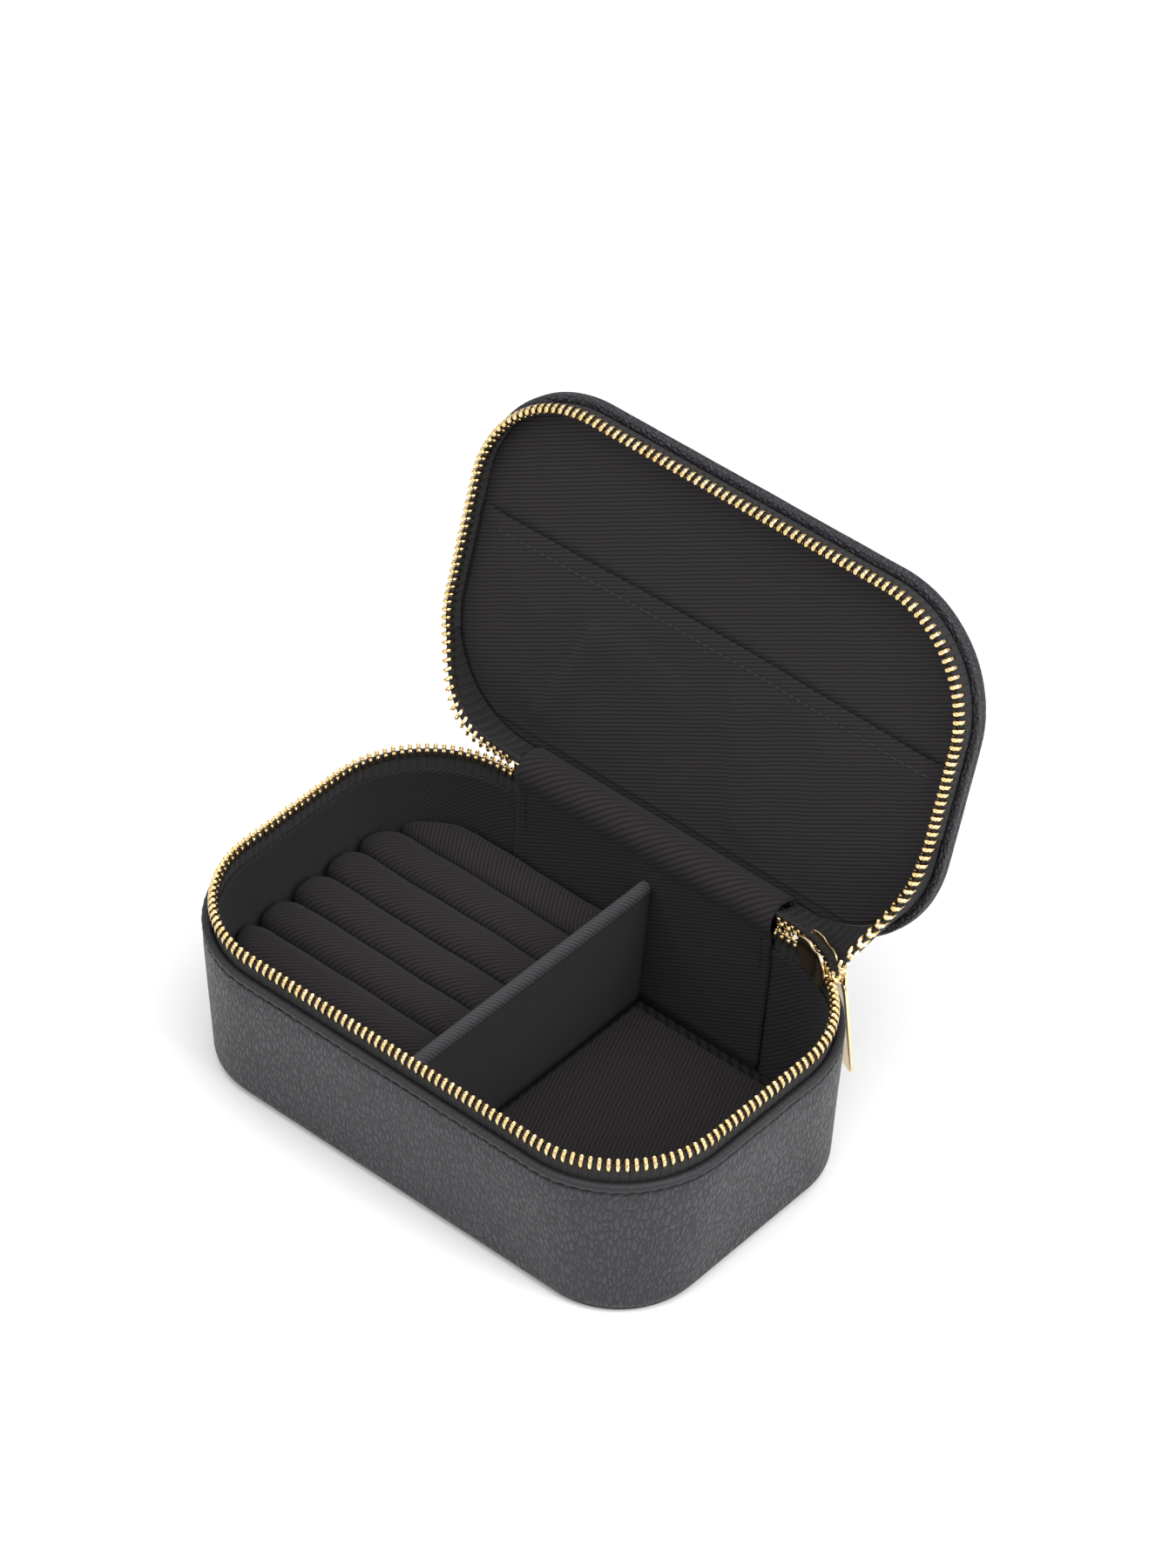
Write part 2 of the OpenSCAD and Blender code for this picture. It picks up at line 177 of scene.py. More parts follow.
def feed(tree, sockets, values):
    """Sets each input socket to its value, or links it where the value is an output."""
    for socket, value in zip(sockets, values):
        if isinstance(value, bpy.types.NodeSocket):
            tree.links.new(value, socket)
        else:
            socket.default_value = value


def add(tree, kind, props=None, **inputs):
    """A shader node with its settings, and its inputs fed by name."""
    node = tree.nodes.new("ShaderNode" + kind)
    for key, value in (props or {}).items():
        setattr(node, key, value)
    feed(tree, [node.inputs[key.replace("_", " ")] for key in inputs], inputs.values())
    return node


def noise(tree, where, scale, detail=3.0, output="Fac", **more):
    return add(tree, "TexNoise", Vector=where, Scale=scale, Detail=detail, **more).outputs[output]


def own_place(tree):
    """Where a point lies on its own object, in metres."""
    return add(tree, "TexCoord").outputs["Object"]


def laid_place(tree):
    """Where a point lies in the layout of its cloth, in millimetres."""
    return add(tree, "UVMap", {"uv_map": "weave"}).outputs[0]


def maths(tree, operation, *values):
    node = add(tree, "Math", {"operation": operation})
    feed(tree, node.inputs, values)
    return node.outputs[0]


def blend_colour(tree, factor, dark, light):
    ramp = tree.nodes.new("ShaderNodeValToRGB")
    ramp.color_ramp.elements[0].color = (*dark, 1)
    ramp.color_ramp.elements[1].color = (*light, 1)
    tree.links.new(factor, ramp.inputs[0])
    return ramp.outputs[0]


def spread(tree, value, low_in, high_in, low_out, high_out):
    node = add(tree, "MapRange", {"interpolation_type": "SMOOTHSTEP"}, Value=value)
    feed(tree, node.inputs[1:5], (low_in, high_in, low_out, high_out))
    return node.outputs[0]


def ridges(tree, value, pitch):
    """Round ridges, one in each pitch of the value."""
    return maths(tree, "ABSOLUTE", maths(tree, "SINE", maths(tree, "MULTIPLY", value, math.pi / pitch)))


def tint(tree, factor, low_in, high_in, light, dark):
    """The light colour, falling to the share dark of it where the factor is low."""
    return blend_colour(tree, spread(tree, factor, low_in, high_in, 0, 1), tuple(dark * c for c in light), light)


def new_material(name, **constants):
    """A material, its tree and shader. Constants go on the shader's own sockets."""
    made = bpy.data.materials.new(name)
    made.use_nodes = True
    tree = made.node_tree
    shader = tree.nodes["Principled BSDF"]
    for key, value in constants.items():
        shader.inputs[key.replace("_", " ")].default_value = value
    return made, tree, shader


def dress(tree, shader, colour, roughness, height, strength, distance):
    tree.links.new(colour, shader.inputs["Base Color"])
    tree.links.new(roughness, shader.inputs["Roughness"])
    bump = add(tree, "Bump", Strength=strength, Distance=distance, Height=height)
    tree.links.new(bump.outputs[0], shader.inputs["Normal"])


def leather(name, cell=1.0, light=(0.0205, 0.0191, 0.0258), along=None, lip=None):
    """Pebbled calf leather: rounded cells with narrow creases, fine pores and slow waves.
    along draws the cells out round the case by that much; above the height lip it is pressed smooth."""
    made, tree, shader = new_material(name, Specular_IOR_Level=0.45)
    where = own_place(tree)
    slow, pores = noise(tree, where, 55.0), noise(tree, where, 4200.0)
    if along:
        laid = add(tree, "Mapping", Vector=laid_place(tree))
        laid.inputs["Scale"].default_value = (1 / (cell * along), 1 / cell, 1)
    else:
        laid = add(tree, "Mapping", Vector=where)
        laid.inputs["Scale"].default_value = (1000 / cell,) * 3
    bend = add(tree, "VectorMath", {"operation": "MULTIPLY_ADD"})
    feed(tree, bend.inputs, (noise(tree, laid.outputs[0], 0.45, 2.0, "Color"), (0.75,) * 3, laid.outputs[0]))
    cells, fine = (add(tree, "TexVoronoi", {"feature": "DISTANCE_TO_EDGE"}, Vector=bend.outputs[0],
                       Scale=scale).outputs["Distance"] for scale in (1.0, 2.3))
    pebble = spread(tree, cells, 0.0, 0.32, 0, 1)
    painted_crease_shade = spread(tree, cells, 0.0, 0.2, 0, 1)
    small = spread(tree, fine, 0.0, 0.25, 0, 1)
    height = maths(tree, "MULTIPLY_ADD", small, 0.12, maths(tree, "MULTIPLY", pebble, 0.88))
    if lip:
        up = add(tree, "SeparateXYZ", Vector=where).outputs[2]
        pressed = spread(tree, up, (lip - 0.2) * MM, (lip + 0.3) * MM, 1.0, 0.25)
        height = maths(tree, "MULTIPLY", height, pressed)
    height = maths(tree, "MULTIPLY_ADD", pores, 0.05, height)
    # Colour and polish: the slow tone at random, with painted shade darkening the creases and a faint painted
    # highlight on the pebble tops.
    tone_and_painted_shade = maths(tree, "MULTIPLY_ADD", slow, 0.25, maths(tree, "MULTIPLY", height, 0.1))
    tone_and_painted_shade = maths(tree, "MULTIPLY_ADD", painted_crease_shade, 0.75, tone_and_painted_shade)
    if lip:
        tone_and_painted_shade = maths(tree, "MULTIPLY", tone_and_painted_shade, pressed)
    roughness = spread(tree, tone_and_painted_shade, 0.2, 1.0, 0.58, 0.4)
    dress(tree, shader, tint(tree, tone_and_painted_shade, 0.1, 1.0, light, 0.42), roughness, height, 1.0, 0.0003)
    return made


def twill(name, pitch=1.05, light=(0.027, 0.0243, 0.0258), depth=0.0002):
    """Twill with round ribs along V, each crossed by slanted yarns, and a soft fuzz."""
    made, tree, shader = new_material(name, Sheen_Weight=0.04, Sheen_Roughness=0.6, Specular_IOR_Level=0.08)
    uv = laid_place(tree)
    axes = add(tree, "SeparateXYZ", Vector=uv)
    across = maths(tree, "MULTIPLY_ADD", noise(tree, uv, 0.12, 2.0), 0.5, axes.outputs[0])
    rib = ridges(tree, across, pitch)
    yarn = ridges(tree, maths(tree, "MULTIPLY_ADD", across, 1.1, axes.outputs[1]), 0.45)
    fuzz = noise(tree, uv, 3.2, 4.0, Roughness=0.7)
    height = maths(tree, "MULTIPLY_ADD", yarn, 0.3, maths(tree, "MULTIPLY", rib, 0.6))
    height = maths(tree, "MULTIPLY_ADD", fuzz, 0.25, height)
    roughness = spread(tree, fuzz, 0.3, 0.7, 0.8, 0.95)
    # The colour falls with the weave's height: painted shade in the grooves between the ribs and yarns, and the
    # fuzz's tone at random.
    dress(tree, shader, tint(tree, height, 0.15, 1.0, light, 0.22), roughness, height, 0.9, depth)
    return made


def herringbone(name, light=(0.042, 0.0405, 0.0435)):
    """Zip tape: chevron columns along the tape, from U along it and V across it."""
    made, tree, shader = new_material(name, Sheen_Weight=0.05, Sheen_Roughness=0.5, Specular_IOR_Level=0.15)
    uv = laid_place(tree)
    axes = add(tree, "SeparateXYZ", Vector=uv)
    zigzag = maths(tree, "PINGPONG", axes.outputs[1], 1.25)
    rib = ridges(tree, maths(tree, "ADD", axes.outputs[0], zigzag), 0.75)
    spine = spread(tree, zigzag, 0.0, 0.15, 0.0, 1.0)
    fuzz = noise(tree, uv, 4.0)
    height = maths(tree, "MULTIPLY_ADD", fuzz, 0.3, maths(tree, "MULTIPLY", rib, spine))
    roughness = spread(tree, fuzz, 0.3, 0.7, 0.72, 0.9)
    # The colour falls with the weave's height: painted shade in the grooves of the chevrons, and the fuzz's tone at
    # random.
    dress(tree, shader, tint(tree, height, 0.1, 1.1, light, 0.15), roughness, height, 0.9, 0.0002)
    return made


def thread(name, light=(0.012, 0.0116, 0.013)):
    """Twisted sewing thread."""
    made, tree, shader = new_material(name, Sheen_Weight=0.04, Specular_IOR_Level=0.3)
    where = own_place(tree)
    twist = add(tree, "TexWave", {"bands_direction": "DIAGONAL"}, Vector=where, Scale=900.0, Distortion=1.5)
    fluff = noise(tree, where, 4000.0, 2.0)
    height = maths(tree, "MULTIPLY_ADD", fluff, 0.3, twist.outputs["Fac"])
    roughness = spread(tree, fluff, 0.3, 0.7, 0.5, 0.7)
    # The colour falls with the twist's height: painted shade in its grooves, and the fluff's tone at random.
    dress(tree, shader, tint(tree, height, 0.1, 1.2, light, 0.4), roughness, height, 0.5, 0.00006)
    return made


def gold(name, light, dark, rough, worn):
    """Plated metal with a faint ripple and small changes of tone and polish."""
    made, tree, shader = new_material(name, Metallic=1.0, Specular_IOR_Level=0.6)
    where = own_place(tree)
    tone, grain = noise(tree, where, 350.0), noise(tree, where, 2500.0)
    colour = blend_colour(tree, spread(tree, tone, 0.3, 0.7, 0, 1), dark, light)
    dress(tree, shader, colour, spread(tree, grain, 0.3, 0.75, rough, worn), grain, 0.25, 0.00003)
    return made


def card(name):
    """Grey board with paper fibre."""
    made, tree, shader = new_material(name, Specular_IOR_Level=0.2)
    fibre = noise(tree, own_place(tree), 900.0, 6.0, Roughness=0.7)
    colour = blend_colour(tree, fibre, (0.22, 0.2, 0.17), (0.5, 0.46, 0.4))
    dress(tree, shader, colour, spread(tree, fibre, 0.3, 0.7, 0.85, 0.98), fibre, 0.4, 0.0001)
    return made


def plain_twill(name):
    """The same twill on a CAD solid, whose ribs come from its place and not from a layout."""
    made, tree, shader = new_material(name, Sheen_Weight=0.04, Specular_IOR_Level=0.08)
    where = own_place(tree)
    ribs = add(tree, "TexWave", {"bands_direction": "DIAGONAL"}, Vector=where, Scale=180.0, Distortion=0.4)
    fuzz = noise(tree, where, 3000.0, 4.0)
    height = maths(tree, "MULTIPLY_ADD", fuzz, 0.3, ribs.outputs["Fac"])
    # The colour falls with the ribs' height: painted shade in their valleys, and the fuzz's tone at random.
    colour = blend_colour(tree, height, (0.006, 0.0055, 0.006), (0.0165, 0.0148, 0.0158))
    dress(tree, shader, colour, spread(tree, fuzz, 0.3, 0.7, 0.8, 0.95), height, 0.6, 0.0001)
    return made


LEATHER = leather("pebbled_leather", cell=1.5)
WALL_LEATHER = leather("wall_leather", cell=1.15, along=2.9, lip=STITCH_Z)
RIM_LEATHER = leather("rim_leather", cell=0.8, light=(0.026, 0.0255, 0.0285))
TWILL = twill("black_twill")
PAD_TWILL = twill("pad_twill", light=(0.0255, 0.0222, 0.023), depth=0.00014)
# A lighter copy of the twill for the divider's top fold: painted light on the top edge.
LIT_FOLD_TWILL = twill("fold_twill_painted_light", pitch=1.25, light=(0.06, 0.057, 0.062), depth=0.0002)
FINE_TWILL = twill("fine_twill", pitch=0.75, light=(0.034, 0.0315, 0.034), depth=0.00034)
TAPE = herringbone("zip_tape")
# A darker copy of the zip tape for the gussets' web: painted shade.
SHADED_END_TAPE = herringbone("end_tape_painted_shade", light=(0.022, 0.0213, 0.023))
HEM_THREAD = thread("hem_thread", light=(0.05, 0.048, 0.052))
THREAD = thread("black_thread")
TEETH = gold("teeth_gold", (0.95, 0.76, 0.43), (0.84, 0.58, 0.25), 0.12, 0.26)
GOLD = gold("polished_gold", (0.96, 0.8, 0.52), (0.9, 0.7, 0.4), 0.05, 0.14)
CARD = card("grey_board")
FLOOR_TWILL = plain_twill("floor_twill")

# ---- mesh tools ----


def keep(obj, body, slot, *nodes):
    """Parents a finished piece to its body's empty and hides the CAD nodes that it stands for; slot is not used."""
    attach(obj, body)
    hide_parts(*nodes)
    return obj


def bends(obj, slot, start, end, *nodes):
    """Hides the CAD nodes that a piece between base and lid stands for, and bakes its placement into its mesh;
    slot, start and end are not used.
    """
    if nodes:
        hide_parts(*nodes)
    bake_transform(obj)


def mesh_piece(name, points, faces, material, corner_uv=None):
    mesh = bpy.data.meshes.new(name)
    mesh.from_pydata((np.asarray(points).reshape(-1, 3) * MM).tolist(), [], faces)
    if corner_uv is not None:
        mesh.uv_layers.new(name="weave").data.foreach_set("uv", np.asarray(corner_uv, np.float32).ravel())
    work = bmesh.new()
    work.from_mesh(mesh)
    bmesh.ops.recalc_face_normals(work, faces=work.faces)
    work.to_mesh(mesh)
    work.free()
    mesh.polygons.foreach_set("use_smooth", [True] * len(mesh.polygons))
    mesh.materials.append(material)
    obj = bpy.data.objects.new(name, mesh)
    bpy.context.scene.collection.objects.link(obj)
    return obj


def quads(points, uv=None, wrap=(False, False), caps=False, ribs=0.0):
    """The faces of a grid of points, and the UV of their corners. wrap closes it along either way, and caps
    closes its two open ends. uv is in millimetres, one more row or column where the grid wraps; without it,
    X and Y serve. ribs turns the weave by that many degrees."""
    n, m = points.shape[:2]
    i, j = np.meshgrid(np.arange(n if wrap[0] else n - 1), np.arange(m if wrap[1] else m - 1), indexing="ij")
    corners = [(i, j), (i + 1, j), (i + 1, j + 1), (i, j + 1)]
    faces = np.stack([(a % n) * m + b % m for a, b in corners], -1).reshape(-1, 4).tolist()
    flat = uv is None
    uv = points[..., :2] if flat else uv
    corner_uv = np.stack([uv[a % n, b % m] if flat else uv[a, b] for a, b in corners], -2).reshape(-1, 2)
    if caps:
        ends = [range(m), range((n - 1) * m, n * m)] if wrap[1] else [range(0, n * m, m), range(m - 1, n * m, m)]
        faces += [list(end) for end in ends]
        corner_uv = np.concatenate([corner_uv] + [np.array([uv[v // m, v % m] for v in end]) for end in ends])
    c, s = math.cos(math.radians(ribs)), math.sin(math.radians(ribs))
    return faces, corner_uv @ np.array([[s, c], [-c, s]])


def surface(name, points, material, *layout, share=0.0, **more):
    """A piece of such a grid, drawn with the lid closed and turned by that share of the opening."""
    faces, corner_uv = quads(points, *layout, **more)
    return mesh_piece(name, turned(points, share) if share else points, faces, material, corner_uv)


def profile_length(profile, closed=False):
    """Running length down a profile's rows, and back to the first where it is closed."""
    rows = np.vstack([profile, profile[:1]]) if closed else profile
    return np.concatenate([[0], np.cumsum(np.linalg.norm(np.diff(rows, axis=0), axis=1))])


def ring_shell(name, profile, material, step=1.0, closed=True, shift=None, ribs=0.0, share=0.0):
    """A profile of (depth, z) rows swept round the case; an open one is capped. shift(s, depth, z) gives what
    is added to depth and z."""
    profile = np.array(profile, float)
    s = ring_stations(step)
    depth, z = profile.T
    if shift:
        more = shift(s[:, None], depth, z)
        depth, z = depth + more[0], z + more[1]
    uv = together(np.append(s, ROUND)[:, None], profile_length(profile, closed))
    return surface(name, place(s[:, None], depth, z), material, uv, (True, closed), not closed, ribs, share=share)


def ring_grid(rows, step):
    """Points round the case at each of the (depth, z) rows."""
    depth, z = np.array(rows, float).T
    return place(ring_stations(step)[:, None], depth, z)


def rounded_section(half_x, half_y, power, count):
    """A closed superellipse outline."""
    a = np.linspace(0, 2 * math.pi, count, endpoint=False)
    c, s = np.cos(a), np.sin(a)
    return together(half_x * np.sign(c) * np.abs(c) ** (2 / power), half_y * np.sign(s) * np.abs(s) ** (2 / power))


def loft(levels, count, centre=(0, 0)):
    """Points and faces of a closed solid through (z, half_x, half_y, power) sections."""
    points = np.concatenate([np.column_stack([rounded_section(*section, count) + centre, np.full(count, z)])
                             for z, *section in levels])
    faces = [[k * count + i, k * count + (i + 1) % count, (k + 1) * count + (i + 1) % count, (k + 1) * count + i]
             for k in range(len(levels) - 1) for i in range(count)]
    return points, faces + [list(range(count)), list(range(len(points) - count, len(points)))]


def join(parts):
    """Several (points, faces) shapes as one."""
    points, faces, start = [], [], 0
    for part_points, part_faces in parts:
        points.append(part_points)
        faces += [[v + start for v in face] for face in part_faces]
        start += len(part_points)
    return np.concatenate(points), faces


def copies(name, shape, origins, outward, material, flip=False, share=0.0):
    """One mesh with the shape at each origin: its X outward, its Y along the chain, its Z up. outward, an angle,
    and share are one for all or one each."""
    points, faces = shape
    up = -1 if flip else 1
    parts = []
    for origin, a, turn in zip(origins, *(np.broadcast_to(v, len(origins)) for v in (outward, share))):
        c, s = math.cos(a), math.sin(a)
        moved = points @ np.array([[c, s, 0], [-s * up, c * up, 0], [0, 0, up]]) + origin
        parts.append((turned(moved, turn) if turn else moved, faces))
    return mesh_piece(name, *join(parts), material)


# ---- base ----

STITCH_START = CHAIN_START + 2
STITCH_COUNT = math.floor((CHAIN_LEN - 4) / 3.2)
STITCH_PITCH = (CHAIN_LEN - 4) / STITCH_COUNT
STITCHES = STITCH_START + (np.arange(STITCH_COUNT) + 0.5) * STITCH_PITCH


def sewn(s):
    """1 in the middle of a stitch and 0 at its holes, along the stitched length."""
    phase = (s - STITCH_START) / STITCH_PITCH
    inside = (s > STITCH_START - 1) & (s < ROUND - STITCH_START + 1)
    return np.where(inside, 0.5 - 0.5 * np.cos(2 * math.pi * phase), 0.6)


def base_wall_shift(s, depth, z):
    """The sewn line pulls the leather in, the lip rolls over it, and the wall is a little uneven."""
    outer = depth < 0.3
    line = STITCH_Z + 0.16 * np.sin(2 * math.pi * (s - STITCH_START) / STITCH_PITCH)
    line = line + wobble(s, 7, (11, 17, 29), 0.15)
    dip = hump(z - line, 0.34) * (0.6 - 0.22 * sewn(s))
    lip = hump(z - STITCH_Z - 1.5, 0.75) * (0.16 + 0.1 * sewn(s))
    lip = lip + wobble(s, 3, (9, 14, 23, 31), 0.1) * (z > STITCH_Z)
    belly = -wobble(s, 5, (3, 5, 8, 13), 0.22) * hump(z - 24, 14)
    pucker = hump(z - STITCH_Z + 1.4, 1.1) * 0.09 * np.cos(math.pi * s / STITCH_PITCH + 3 * np.sin(s / 9))
    return np.where(outer, dip - lip * (z < BASE_H - 0.3) + belly + pucker, 0), 0


wall = [(9, 1.35), (4, 1.35), (1.6, 1.4), (0.9, 1.55), (0.45, 1.9), (0.18, 2.4), (0.04, 3.1)]
wall += [(0, z) for z in np.linspace(4, 40.4, 26)] + [(0, z) for z in np.arange(41, 45.01, 0.16)]
wall += [(0.05, 45.3), (0.2, 45.6), (0.45, 45.85), (0.8, 45.97), (1.2, 46), (1.65, 45.95), (2.0, 45.75),
         (2.25, 45.4), (2.28, 45.0), (2.1, 44.82), (1.35, 44.8), (1.2, 44.6), (1.2, 30), (1.2, 4), (1.5, 2.8),
         (9, 2.5)]
keep(ring_shell("base_wall_leather", wall, WALL_LEATHER, 0.55, shift=base_wall_shift), "base", "leather",
     "base_leather")

sole = [(22, 0.15), (6, 0.1), (2.2, 0), (1.6, 0.1), (1.28, 0.35), (1.2, 0.65), (1.25, 1.0), (1.5, 1.25),
        (2.2, 1.3), (22, 1.3)]
keep(ring_shell("base_underside", sole, LEATHER, 1.2, closed=False), "base", "leather",
     "base_bottom_leather")

stitch = loft([(-1.2, 0.08, 0.08, 2), (-1.1, 0.2, 0.2, 2), (-0.7, 0.27, 0.25, 2), (0, 0.3, 0.26, 2),
               (0.7, 0.27, 0.25, 2), (1.1, 0.2, 0.2, 2), (1.2, 0.08, 0.08, 2)], 8)


def laid_stitch(dive):
    """A stitch along Y whose ends go down into the material, which is towards -X."""
    x, y, z = stitch[0].T
    return np.stack([x - dive * (np.abs(z) / 1.2) ** 3, z, y], -1), stitch[1]


keep(copies("base_lip_stitches", laid_stitch(0.3), place(STITCHES, 0.1, STITCH_Z), heading(STITCHES), THREAD),
     "base", "thread", "base_stitching")

lining = [(LINING_OUT, z) for z in (4.4, 20, 38, 44.2)]
lining += [(LINING_OUT + 0.1, 44.85), (LINING_OUT + 0.35, 45), (LINING_IN - 0.1, 44.9), (LINING_IN + 0.12, 44.5),
           (LINING_IN + 0.15, 43.6), (LINING_IN + 0.02, 42.8)]
lining += [(LINING_IN, z) for z in np.linspace(42, 4.4, 24)]


def lining_shift(s, depth, z):
    inner = depth > LINING_IN - 0.3
    return np.where(inner, wobble(s, 11, (4, 7, 11, 18), 0.22) * hump(z - 26, 16), 0), 0


keep(ring_shell("base_wall_twill", lining, TWILL, 1.0, shift=lining_shift, ribs=-38), "base", "twill",
     "base_wall_lining")


# ---- inside the base ----

pad_low, pad_high = box_mm("base_floor_pad")
PAD_IN = CONTENT_IN + 3
edge = [(3, 0.05), (0.5, 0.05), (0.1, 0.3), (0, 0.9), (0.15, 1.45), (0.5, 1.8)]
crown = [(1.1, -0.02), (2.2, 0.1), (4, 0.2), (7, 0.25), (11, 0.25)]
rows = [(PAD_IN + d, pad_low[2] + z) for d, z in edge] + [(PAD_IN + d, pad_high[2] + z) for d, z in crown]
grid = ring_grid(rows, 1.0)
grid[..., 0] = np.maximum(grid[..., 0], pad_low[0] + np.array(rows)[:, 0] - PAD_IN)
wave = 0.12 * np.sin(grid[..., 0] / 9) * np.cos(grid[..., 1] / 11)
grid[..., 2] += np.where(grid[..., 2] > pad_high[2], wave, 0)
pad = keep(surface("right_floor_pad", grid, PAD_TWILL, None, (True, False), True, ribs=114), "base", "twill",
           "base_floor_pad")

divider_low, divider_high = box_mm("divider")
t = (divider_high[0] - divider_low[0]) / 2
middle, crest, crease_z = divider_low[0] + t, divider_high[2] - t, divider_high[2] - 2.1


def bow(y):
    """How far the divider leaves its plane."""
    return 0.25 * np.sin(y / 17)


def rise(y):
    """How far its top edge leaves the level."""
    return 0.18 * np.sin(y / 13)


side_z = np.concatenate([np.linspace(divider_low[2] + 0.1, divider_high[2] - 4, 12),
                         np.linspace(divider_high[2] - 3.8, crest, 16)])
outline = [(t, z) for z in side_z]
outline += [(t * math.cos(a), crest + t * math.sin(a)) for a in np.linspace(0, math.pi, 11)[1:-1]]
outline += [(-t, z) for z in side_z[::-1]]
across, up = np.array(outline).T
across = across * (1 - 0.2 * hump(up - crease_z, 0.22) + 0.08 * (up > crease_z))
front = -(CASE_D / 2 - taper(up)[0] - LINING_IN - 0.15)
back = CASE_D / 2 - taper(up)[0] - LINING_IN - 0.9
y = front + (back - front) * np.linspace(0, 1, 60)[:, None]
grid = together(middle + across + bow(y) * np.clip((up - 8) / 20, 0, 1), y, up + rise(y) * (up > 30))
run = profile_length(np.stack([across, up], -1))
uv = together(y[:, :1], np.append(run, run[-1] + 2 * t))
keep(surface("divider_twill", grid, FINE_TWILL, uv, (False, True), True, ribs=16), "base", "twill", "divider")

# The fold of its cover over the top edge, with ribs that cross the edge at a slant. Its twill is a lighter copy of
# the divider's: painted light on the top edge.
RIB_PITCH, RIB_SLANT = 1.25, 1.4
a = np.linspace(-0.55, math.pi + 0.55, 25)
length = np.linspace(-(CASE_D / 2 - LINING_IN - 0.2), CASE_D / 2 - LINING_IN - 0.95, 620)[:, None]
radius = t + 0.2 + 0.1 * np.abs(np.sin(math.pi * (length + RIB_SLANT * a) / RIB_PITCH))


def over_edge(radius, skirt):
    """The cover at that radius from the edge's middle line, its two skirts drawn down by the factor skirt."""
    down = np.where(np.sin(a) < 0, skirt, 1)
    return together(middle + radius * np.cos(a) + bow(length), length,
                    crest + radius * np.sin(a) * down + rise(length))


grid = np.concatenate([over_edge(radius, 1.6), over_edge(0.8 * t, 1)[:, ::-1]], 1)
round_edge = np.append(np.concatenate([a, a[::-1] + 6]), 14)
uv = together(length + RIB_SLANT * round_edge, t * round_edge)
keep(surface("divider_top_fold", grid, LIT_FOLD_TWILL, uv, (False, True), True, ribs=90), "base", "twill")

bed_low, bed_high = box_mm("ring_bed")
rows = [(CONTENT_IN + 3, bed_low[2] + 0.05), (CONTENT_IN, bed_low[2] + 0.6), (CONTENT_IN, bed_high[2] - 0.8),
        (CONTENT_IN + 0.3, bed_high[2] - 0.2), (CONTENT_IN + 1.2, bed_high[2])]
grid = ring_grid(rows, 1.2)
grid[..., 0] = np.minimum(grid[..., 0], bed_high[0])
keep(surface("ring_cushion_bed", grid, TWILL, None, (True, False), True, ribs=20), "base", "twill", "ring_bed")

for number in range(1, 8):
    node = f"ring_roll_{number}"
    roll_low, roll_high = box_mm(node)
    centre_y = (roll_low[1] + roll_high[1]) / 2
    radius = (roll_high[1] - roll_low[1]) / 2
    roll_z = roll_high[2] - radius
    a = np.linspace(-0.5 * math.pi + 0.95, 1.5 * math.pi - 0.95, 34)
    section = radius * together(np.cos(a), np.sin(a))
    section = np.sign(section) * radius * (np.abs(section) / radius) ** np.array([0.8, 0.66])
    section[:, 1] = np.maximum(section[:, 1], roll_low[2] + 0.05 - roll_z)
    end = np.concatenate([[0, 0.012, 0.03, 0.055, 0.085], np.linspace(0.12, 0.88, 34),
                          [0.915, 0.945, 0.97, 0.988, 1]])[:, None]
    # The ends are gathered in, and each roll leaves its straight line a little.
    squeeze = 1 - 0.34 * (1 - np.minimum(1, np.minimum(end, 1 - end) / 0.085)) ** 2.2
    sway = 0.16 * np.sin(end * 9 + number * 1.7) + 0.1 * np.sin(end * 23 + number)
    y = centre_y + section[:, 0] * (1.03 * squeeze) + 0.1 * sway
    z = roll_z + section[:, 1] * squeeze + sway * (section[:, 1] > 0)
    left = -half_width(centre_y + section[:, 0], CONTENT_IN + 0.15, roll_low[2])
    grid = together(left + (roll_high[0] - 0.1 - left) * end, y, np.maximum(z, roll_low[2] + 0.02))
    ribs = 121 if number == 7 else 41 + 5 * math.sin(2.4 * number)
    roll = keep(surface(f"{node}_twill", grid, PAD_TWILL, None, (False, True), True, ribs), "base", "twill", node)

# ---- zip ----


def leg(side):
    """A tooth's leg beside the tape."""
    half = (TOOTH_W / 2 - TAPE_T / 2 - 0.05) / 2
    wide = TOOTH_T / 2 - 0.16
    low_z, high_z = TOOTH_FOOT, TAPE_EDGE + 0.2
    rows = [(low_z, half - 0.12, wide - 0.12, 4), (low_z + 0.12, half, wide, 7), (high_z - 0.3, half, wide, 7),
            (high_z, half - 0.02, wide + 0.06, 6)]
    return loft(rows, 16, (side * (TOOTH_W / 2 - half), 0))


wide, thick = TOOTH_W / 2, TOOTH_T / 2
head = [(TAPE_EDGE + up, x, y, power) for up, x, y, power in (
    (0.05, wide, thick - 0.14, 7), (0.2, wide, thick - 0.1, 6), (0.38, wide - 0.1, thick - 0.06, 3.6),
    (0.6, 0.9, 0.58, 2.4))]
head += [(TOOTH_TOP - down, x, y, 2) for down, x, y in ((0.3, 0.84, 0.6), (0.1, 0.76, 0.55), (0, 0.64, 0.46),
         (0.03, 0.5, 0.36), (0.22, 0.36, 0.26), (0.34, 0.14, 0.1))]
points, faces = join([loft(head, 20), leg(1), leg(-1)])
tooth = (points - [0, 0, ZIP_Z], faces)
TOOTH_COUNT = math.floor(CHAIN_LEN / TOOTH_PITCH)


def tooth_places(s):
    return place(s + CHAIN_START, CHAIN_IN, ZIP_Z), heading(s + CHAIN_START)


base_s = (np.arange(TOOTH_COUNT) + 0.3) * TOOTH_PITCH
keep(copies("base_teeth", tooth, *tooth_places(base_s), TEETH), "base", "teeth", "zip_teeth_base")

